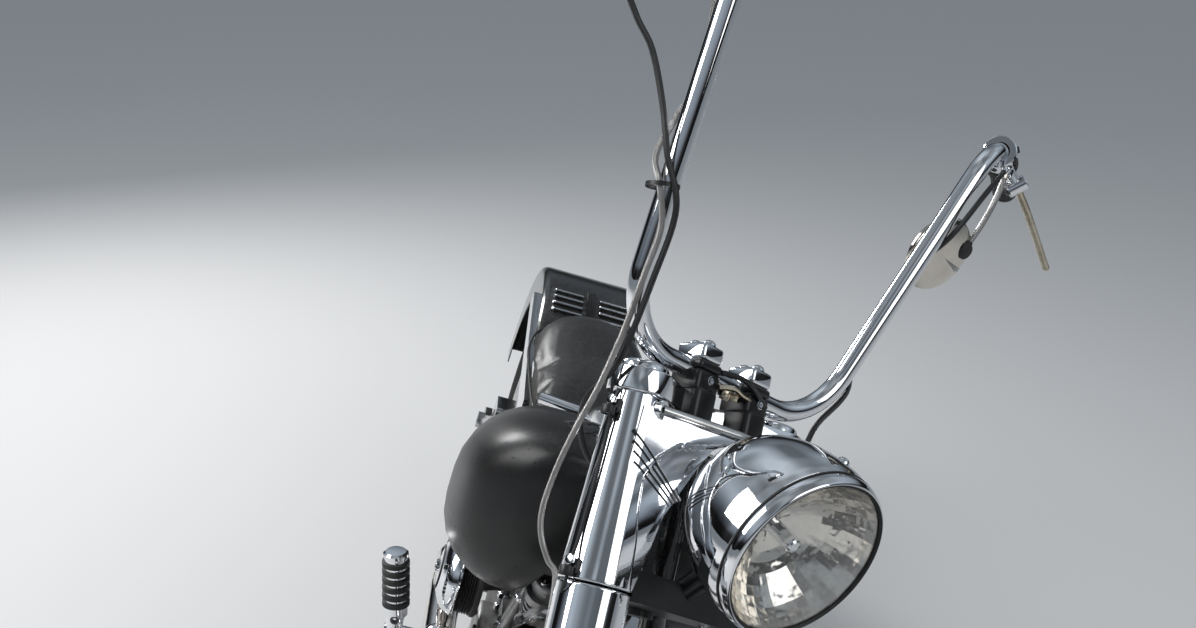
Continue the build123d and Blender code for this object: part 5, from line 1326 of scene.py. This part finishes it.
def heightAt(line, x):
    for (x1, z1), (x2, z2) in zip(line, line[1:]):
        if x >= x2:
            return z1 + (z2 - z1) * (x - x1) / (x2 - x1)
    return line[-1][1]


seatTop = smoothLine(seat["top"], 8)
seatEdge = smoothLine(seat["outline"], 6)
seatEdge = [Vector(edge) for edge in seatEdge + [(x, -y) for x, y in reversed(seatEdge[1:-1])]]
seatMiddle = Vector((-400, 0))
saddle = bmesh.new()


def saddlePoint(spot, rise, crown):
    low, high = heightAt(seat["bottom"], spot.x) + 2, heightAt(seatTop, spot.x) - 3
    return saddle.verts.new((spot.x, spot.y, low + (high - low) * rise + crown))


seatRings = []
for share, rise, crown in seat["band"][1:-1]:
    ring = []
    for edge in seatEdge:
        spot = seatMiddle + (edge - seatMiddle) * share
        spot = spot - (edge - seatMiddle).normalized() * seat["inset"] * share
        ring.append(saddlePoint(spot, rise, crown))
    seatRings.append(ring)
joinRings(saddle, seatRings)
for ring, (share, rise, crown) in ((seatRings[0], seat["band"][0]), (seatRings[-1], seat["band"][-1])):
    hub = saddlePoint(seatMiddle, rise, crown)
    for n in range(len(ring)):
        saddle.faces.new((ring[n - 1], ring[n], hub))
bmesh.ops.recalc_face_normals(saddle, faces=saddle.faces)
saddlePiece = makePiece("saddle", saddle, bikeFrame, "seatCover", "chassis", "seat_cover", ["seat"], 180)


def evaluated(piece):
    # the piece's mesh with its modifiers carried out, which are then cleared
    mesh = bpy.data.meshes.new_from_object(piece.evaluated_get(bpy.context.evaluated_depsgraph_get()))
    piece.modifiers.clear()
    return mesh


def swell(piece, settings):
    remesh = piece.modifiers.new("even", "REMESH")
    remesh.mode = "VOXEL"
    remesh.voxel_size = settings["voxel"]
    remesh.use_smooth_shade = True
    materials = list(piece.data.materials)
    piece.data = evaluated(piece)
    piece.data.materials.clear()
    for material in materials:
        piece.data.materials.append(material)
    before = [vert.co.copy() for vert in piece.data.vertices]
    cloth = piece.modifiers.new("fill", "CLOTH")
    cloth.settings.use_pressure = True
    cloth.settings.uniform_pressure_force = settings["pressure"]
    cloth.settings.effector_weights.gravity = 0
    for number in range(1, settings["frames"] + 1):
        scene.frame_set(number)
    piece.data = evaluated(piece)
    for vert, start in zip(piece.data.vertices, before):
        moved = vert.co - start
        if moved.length > settings["cap"]:
            moved = moved.normalized() * settings["cap"]
        vert.co = start + moved
    scene.frame_set(1)
    for polygon in piece.data.polygons:
        polygon.use_smooth = True
    fine = piece.modifiers.new("fine", "SUBSURF")
    fine.levels = 1
    fine.render_levels = 1


swell(saddlePiece, seat)
welt = bmesh.new()
weltLine = []
for edge in seatEdge + seatEdge[:1]:
    spot = seatMiddle + (edge - seatMiddle) * seat["weltShare"]
    low, high = heightAt(seat["bottom"], spot.x), heightAt(seatTop, spot.x)
    weltLine.append(Vector((spot.x, spot.y, low + (high - low) * seat["weltRise"])))
addTube(welt, weltLine, seat["weltRadius"], 12)
for first, last in zip(weltLine, weltLine[1:]):
    count = max(1, round((last - first).length / seat["stitchPitch"]))
    run = (last - first).normalized() * seat["stitchHalf"]
    for k in range(count):
        spot = first.lerp(last, (k + 0.3) / count)
        outward = Vector((spot.x - seatMiddle.x, spot.y, 0)).normalized()
        stitch = spot - outward * seat["weltRadius"] + Vector((0, 0, seat["stitchRise"]))
        addRod(welt, stitch - run, stitch + run, 0.7, 0.2, 1, 6)
makePiece("saddleWelt", welt, bikeFrame, "seatCover softRubber", "chassis", "seat_cover", (), 60)
print("saddle swelled")

# Exhausts: a bent header each, then a short wider sleeve cut off at a slant
pipe = {"radius": 22, "sleeve": 27, "side": -152, "end": -300, "wall": 2, "hollow": 54, "slant": 0.75}
exhausts = {
    "frontExhaust": {
        "node": "exhaust_front", "bends": [34, 60, 80], "sleeve": 60,
        "route": [(189.4, -40, 463.5), (256, -72, 474), (266, -148, 398), (192, -152, 212),
                  (-292, -152, 212)],
    },
    "rearExhaust": {
        "node": "exhaust_rear", "bends": [36, 50], "sleeve": -205,
        "route": [(-109.4, -40, 463.5), (-150, -96, 444), (-152, -152, 274), (-292, -152, 274)],
    },
}
for name, exhaust in exhausts.items():
    shape = bmesh.new()
    route = [Vector(point) for point in exhaust["route"]]
    addTube(shape, roundedRoute(route, exhaust["bends"], 14), pipe["radius"], 40)
    place = shift(exhaust["sleeve"], pipe["side"], route[-1].z) @ turned(-90, "Y")
    length = exhaust["sleeve"] - pipe["end"]
    outer, inner = pipe["sleeve"], pipe["sleeve"] - pipe["wall"]
    floorAt = length - pipe["hollow"]
    sleeveProfile = [(pipe["radius"], -1), (outer - 1.5, 0), (outer, 1.5)]
    sleeveProfile += [(outer, length * n / 8) for n in range(1, 9)]
    sleeve = latheShape(sleeveProfile + [(inner, length), (inner, floorAt), (0, floorAt)], 48)
    for vert in sleeve.verts:
        if vert.co.z > length - 1:
            vert.co.z -= pipe["slant"] * (outer - vert.co.x)
    addPart(shape, sleeve, place)
    band = [(outer, -7), (outer + 1.4, -7), (outer + 1.8, -6), (outer + 1.8, 6), (outer + 1.4, 7), (outer, 7)]
    for along in (26, length * 0.5):
        clampPlace = place @ shift(0, 0, along)
        addLathe(shape, band, clampPlace, 48, True)
        addBlock(shape, (11, 9, 13), clampPlace @ shift(0, outer + 5, 0), 1.5)
        addBolt(shape, clampPlace @ Vector((5, outer + 5, 0)), (0, 0, 1), 4.5, 4, 2)
    ahead = (route[1] - route[0]).normalized()
    flange = between(route[0] + ahead * 3, route[0] + ahead * 12)
    addLathe(shape, ringed(32.5, 0, 8.5, 22, 1.5), flange, 40, True)
    for turn in (0, 180):
        stud = flange @ turned(turn, "Z")
        addLathe(shape, [(0, 0), (9, 0), (9, 8), (0, 8)], stud @ shift(33, 0, 0), 24)
        addNut(shape, stud @ Vector((33, 0, 8)), ahead, 6.5, 6, 2)
    makePiece(name, shape, bikeFrame, "blueChrome engineBlack darkSteel", "chassis", "chrome",
              [exhaust["node"]], 34)

# Air cleaner: a round bright cover over a black element and plate, one socket-head screw in the middle
cleaner = bmesh.new()
cleanerPlace = shift(40, -126, 436) @ turned(90, "X")
cleanerSide = (0, -1, 0)
addLathe(cleaner, ringed(62, 0, 9, 0, 2), cleanerPlace, 80, False, 1)
fold = [(57, 9)]
for n in range(7):
    fold += [(60.5, 10 + n * 4), (57.5, 12 + n * 4)]
addLathe(cleaner, fold + [(57, 40), (0, 40), (0, 9)], cleanerPlace, 80, False, 2)
coverProfile = [(0, 68)] + arcPoints((0.01, 68), (30, 66.4), (46, 60), 8)
coverProfile += arcPoints((47, 59.4), (59, 51), (64, 40), 8)
coverProfile += [(65.4, 39), (66.6, 37.6), (66.6, 35.6), (65, 34.6), (60, 34.6), (58, 38), (0, 38)]
addLathe(cleaner, coverProfile, cleanerPlace, 96)
addLathe(cleaner, [(30, 66.2), (31, 67.6), (33, 67.2), (33.6, 65.6)], cleanerPlace, 80, True, 1)
addBolt(cleaner, cleanerPlace @ Vector((0, 0, 67)), cleanerSide, 10, 7)
boltRing(cleaner, cleanerPlace, cleanerSide, (3, 44, 60.4), (4.2, 3.4), 3, 0.25)
addRod(cleaner, (40, -88, 452), (40, -127, 440), 24, 2, 1, 32)
makePiece("airCleaner", cleaner, bikeFrame, "chrome engineBlack softRubber darkSteel", "chassis", "chrome",
          ["air_cleaner"], 32)

# Engine hardware: rocker and case bolts, plugs with their leads, pushrod collars, cover rims
engineSettings = {
    "crank": (40, 0, 270), "lean": 22.5, "headBolts": (-58, -20, 20, 58), "headHeight": 299,
    "nutHeight": 274, "rodSpread": 9, "rodShift": 4, "rodEnds": ((-84, 92), (-70, 262)),
    "collars": (12, 30, 122), "plug": ((0, 52, 244), (0, 96, 262)), "plugRibs": (6, 11, 16),
    "leadEnd": (40, 66, 470), "coil": (40, 52, 478),
    "camBolts": [(-66, 10), (-52, 70), (-22, 92), (22, 92), (52, 70), (66, 10), (48, -46), (0, -68),
                 (-48, -46)],
    "primaryEnds": [((40, 272), 86, (-80, -40, 0, 40, 80)), ((-200, 293), 96, (100, 140, 180, 220, 260))],
}
collar = [(6, 0), (9.5, 0), (10.2, 1), (10.2, 7), (9.5, 8), (6, 8)]
porcelainRib = [(5, 0), (7.4, 0.6), (7.4, 2), (5, 2.6)]
plugCap = [(0, 0), (8, 0), (9, 2), (9, 12), (7, 24), (5, 30), (0, 30)]
engine = bmesh.new()
for rodSide in (1, -1):
    cylinder = shift(*engineSettings["crank"]) @ turned(rodSide * engineSettings["lean"], "Y")
    upward = cylinder.to_3x3() @ Vector((0, 0, 1))
    for x in (-38, 38):
        for y in engineSettings["headBolts"]:
            addBolt(engine, cylinder @ Vector((x, y, engineSettings["headHeight"])), upward, 5, 4)
    for x in (-46, 46):
        addNut(engine, cylinder @ Vector((x, 0, engineSettings["nutHeight"])), upward, 6, 5, 1)
    for hand in (-1, 1):
        x = hand * engineSettings["rodSpread"] - rodSide * engineSettings["rodShift"]
        foot, head = [cylinder @ Vector((x, y, z)) for y, z in engineSettings["rodEnds"]]
        run = (head - foot).normalized()
        for along in engineSettings["collars"]:
            spot = foot + run * along
            addLathe(engine, collar, between(spot, spot + run), 28, True)
    plugStart, plugEnd = [cylinder @ Vector(spot) for spot in engineSettings["plug"]]
    addRod(engine, plugStart, plugEnd, 5.5, 1, 2)
    run = (plugEnd - plugStart).normalized()
    for along in engineSettings["plugRibs"]:
        spot = plugStart + run * along
        addLathe(engine, porcelainRib, between(spot, spot + run), 20, True, 3)
    addLathe(engine, plugCap, between(plugEnd - run * 10, plugEnd), 24, False, 2)
    leadEnd = Vector(engineSettings["leadEnd"])
    lead = [plugEnd + run * 12, plugEnd + run * 30 + Vector((0, 0, -6))]
    lead += [leadEnd + Vector((rodSide * 30, 44, -30)), leadEnd]
    addTube(engine, lead, 4, 14, "NURBS", 2)
addBlock(engine, (52, 60, 44), shift(*engineSettings["coil"]), 5, 2, 3)
camPlace = shift(40, -117.4, 270) @ turned(90, "X")
for x, z in engineSettings["camBolts"]:
    addBolt(engine, (40 + x, -117.2, 270 + z), (0, -1, 0), 4.6, 4, 1)
addLathe(engine, [(0, 0), (34, 0), (35.4, 1.4), (35.4, 5), (33, 7), (0, 7.6)], camPlace, 64)
boltRing(engine, camPlace, (0, -1, 0), (4, 26, 7), (3.6, 3), 1, 0.5)
derby = shift(-200, 156, 293) @ turned(-90, "X")
addLathe(engine, [(0, 0), (62, 0), (64, 1.6), (64, 5), (61, 7.6), (40, 9), (0, 10)], derby, 80)
boltRing(engine, derby, (0, 1, 0), (5, 54, 7.6), (4, 3.4), 1, 0.3)
inspect = shift(40, 156, 272) @ turned(-90, "X")
addLathe(engine, [(0, 0), (40, 0), (42, 1.6), (42, 4), (39, 6), (0, 6.6)], inspect, 64)
boltRing(engine, inspect, (0, 1, 0), (2, 30, 5.6), (4, 3.4), 1)
for (x, z), radius, turns in engineSettings["primaryEnds"]:
    for turn in turns:
        spot = Vector((x, 155.2, z)) + turned(90, "X") @ circlePoint(radius, math.radians(turn))
        addBolt(engine, spot, (0, 1, 0), 5, 4.4, 1)
makePiece("engineHardware", engine, bikeFrame, "chrome darkSteel softRubber porcelain", "chassis",
          "cast_aluminium", (), 34)

# Clips, wire and ties on the right fork cover, and a tie on the bar
clipSpots = [(47.1, -151.9, -57.5), (50.0, -160.7, -233.2)]
wireRoute = [
    (43.2, -162.0, -0.9), (44.0, -158.0, -39.2), (48, -157.5, -64), (49.2, -153.8, -78),
    (49.4, -155.7, -142.3), (49.0, -158.8, -200.1), (51.0, -164.5, -226.4), (51.9, -166, -246),
    (42, -160, -262),
]
clips = bmesh.new()
for spot in [Vector(spot) for spot in clipSpots]:
    outward = Vector((spot.x - fork["forward"], spot.y + fork["side"], 0)).normalized()
    addBlock(clips, (16, 6, 15), between(spot - outward, spot + outward) @ turned(90, "X"), 1.6, 0, 3)
    addNut(clips, spot + outward * 2.4 + Vector((0, 0, 5)), outward, 6.4, 5, 1)
    addLathe(clips, [(4.2, -5), (7.4, -5), (7.8, -4), (7.8, 4), (7.4, 5), (4.2, 5)],
             shift(*(spot + outward * 7)) @ shift(0, 0, -7), 24, True)
addTube(clips, smoothLine(wireRoute, 6), 1.9, 10)
tieSpot = Vector((106.2, -212, 166.7))
tiePlace = between(tieSpot, tieSpot + Vector((0.06, -0.2, 1)).normalized())
addLathe(clips, [(17, -2.4), (18.6, -2.4), (18.6, 2.4), (17, 2.4)], tiePlace, 32, True)
makePiece("forkClips", clips, forkFrame, "cableSheath chrome", "front_end", "chrome", (), 34)

# Pegs: rubber rings and end caps on the folded pegs, a dark bolt at each peg's foot
pegs = {
    "foot": (80, 238, 364), "head": (80, 262, 458), "rings": 6, "first": 16, "pitch": 13,
    "ring": [(17, 0), (20.4, 1), (20.4, 7.4), (17, 8.4)],
}
pegShape = bmesh.new()
for side in (1, -1):
    foot, head = sided(pegs["foot"], side), sided(pegs["head"], side)
    run = (head - foot).normalized()
    for n in range(pegs["rings"]):
        spot = foot + run * (pegs["first"] + n * pegs["pitch"])
        addLathe(pegShape, pegs["ring"], between(spot, spot + run), 36, True, 1)
    addLathe(pegShape, [(0, 0), (17.4, 0), (18.6, 1.2), (18.6, 5), (15, 8), (0, 9)],
             between(head - run, head), 36)
    addBolt(pegShape, foot + Vector((0, 0, -2)), (1, 0, 0), 7, 17, 2)
makePiece("pegRings", pegShape, bikeFrame, "chrome softRubber darkSteel", "chassis", "chrome", (), 34)

# Axle nuts
axleNuts = bmesh.new()
for side in (1, -1):
    addNut(axleNuts, (fork["forward"], side * 152, axle), (0, side, 0), 13, 9)
makePiece("frontAxleNuts", axleNuts, forkFrame, "chrome", "front_end", "chrome", (), 34)
print("exhausts, cleaner and hardware made")

# Stage, lamps and camera
stage = {
    "size": 60, "floorColour": (0.74, 0.73, 0.72), "floorRough": 0.75, "floorSpecular": 0.2, "sky": 0.72,
    "driftScale": 1.7, "driftDetail": 1.0, "drift": (0.36, 0.64, 0.35, 1.35),
    "stops": [
        (0.0, (0.02, 0.02, 0.021)), (0.13, (0.028, 0.028, 0.03)), (0.24, (0.2, 0.23, 0.27)),
        (0.5, (0.46, 0.53, 0.6)), (1.0, (0.62, 0.68, 0.74)),
    ],
}
floorMaterial = bpy.data.materials.new("floorPaper")
floorMaterial.use_nodes = True
floorInputs = floorMaterial.node_tree.nodes["Principled BSDF"].inputs
floorInputs["Base Color"].default_value = (*stage["floorColour"], 1)
floorInputs["Roughness"].default_value = stage["floorRough"]
floorInputs["Specular IOR Level"].default_value = stage["floorSpecular"]
floorMesh = bpy.data.meshes.new("floor")
floorShape = bmesh.new()
bmesh.ops.create_grid(floorShape, x_segments=1, y_segments=1, size=stage["size"] / 2)
floorShape.to_mesh(floorMesh)
floorShape.free()
floorMesh.materials.append(floorMaterial)
floor = bpy.data.objects.new("floor", floorMesh)
scene.collection.objects.link(floor)

world = bpy.data.worlds.new("studio")
world.use_nodes = True
scene.world = world
worldTree = world.node_tree
skyCoords = worldTree.nodes.new("ShaderNodeTexCoord").outputs["Generated"]
skySplit = worldTree.nodes.new("ShaderNodeSeparateXYZ")
skyRamp = worldTree.nodes.new("ShaderNodeValToRGB")
worldTree.links.new(skyCoords, skySplit.inputs[0])
worldTree.links.new(skySplit.outputs["Z"], skyRamp.inputs["Fac"])
while len(skyRamp.color_ramp.elements) < len(stage["stops"]):
    skyRamp.color_ramp.elements.new(0.5)
for element, (position, colour) in zip(skyRamp.color_ramp.elements, stage["stops"]):
    element.position = position
    element.color = (*colour, 1)
# broad soft drifts of light and dark, so that bright metal has something to show
driftNode = worldTree.nodes.new("ShaderNodeTexNoise")
driftNode.inputs["Scale"].default_value = stage["driftScale"]
driftNode.inputs["Detail"].default_value = stage["driftDetail"]
worldTree.links.new(skyCoords, driftNode.inputs["Vector"])
drift = spreadNode(worldTree, driftNode.outputs["Fac"], *stage["drift"])
background = worldTree.nodes["Background"].inputs
worldTree.links.new(skyRamp.outputs["Color"], background["Color"])
worldTree.links.new(mathNode(worldTree, "MULTIPLY", drift, stage["sky"]), background["Strength"])

lights = {
    "key": {"place": (0.6, -3.3, 3.1), "size": 2.4, "power": 112},
    "fill": {"place": (2.6, 2.3, 2.5), "size": 2.2, "power": 26},
    "sun": {"place": (-2.9, -2.1, 2.4), "size": 0.85, "power": 56},
}
for name, settings in lights.items():
    data = bpy.data.lights.new(name, "AREA")
    data.energy = settings["power"]
    data.size = settings["size"]
    light = bpy.data.objects.new(name, data)
    light.location = settings["place"]
    aim = Vector((0, 0, 0.6)) - Vector(settings["place"])
    light.rotation_euler = aim.to_track_quat("-Z", "Y").to_euler()
    scene.collection.objects.link(light)

view = {"place": (1.9648, -0.2439, 1.4808), "turn": (71.975, -2.702, 87.978), "lens": 42.07}
cameraData = bpy.data.cameras.new("camera")
cameraData.lens = view["lens"]
camera = bpy.data.objects.new("camera", cameraData)
camera.location = view["place"]
camera.rotation_euler = [math.radians(angle) for angle in view["turn"]]
scene.collection.objects.link(camera)
scene.camera = camera
scene.view_settings.view_transform = "Standard"
print("stage, lamps and camera set")
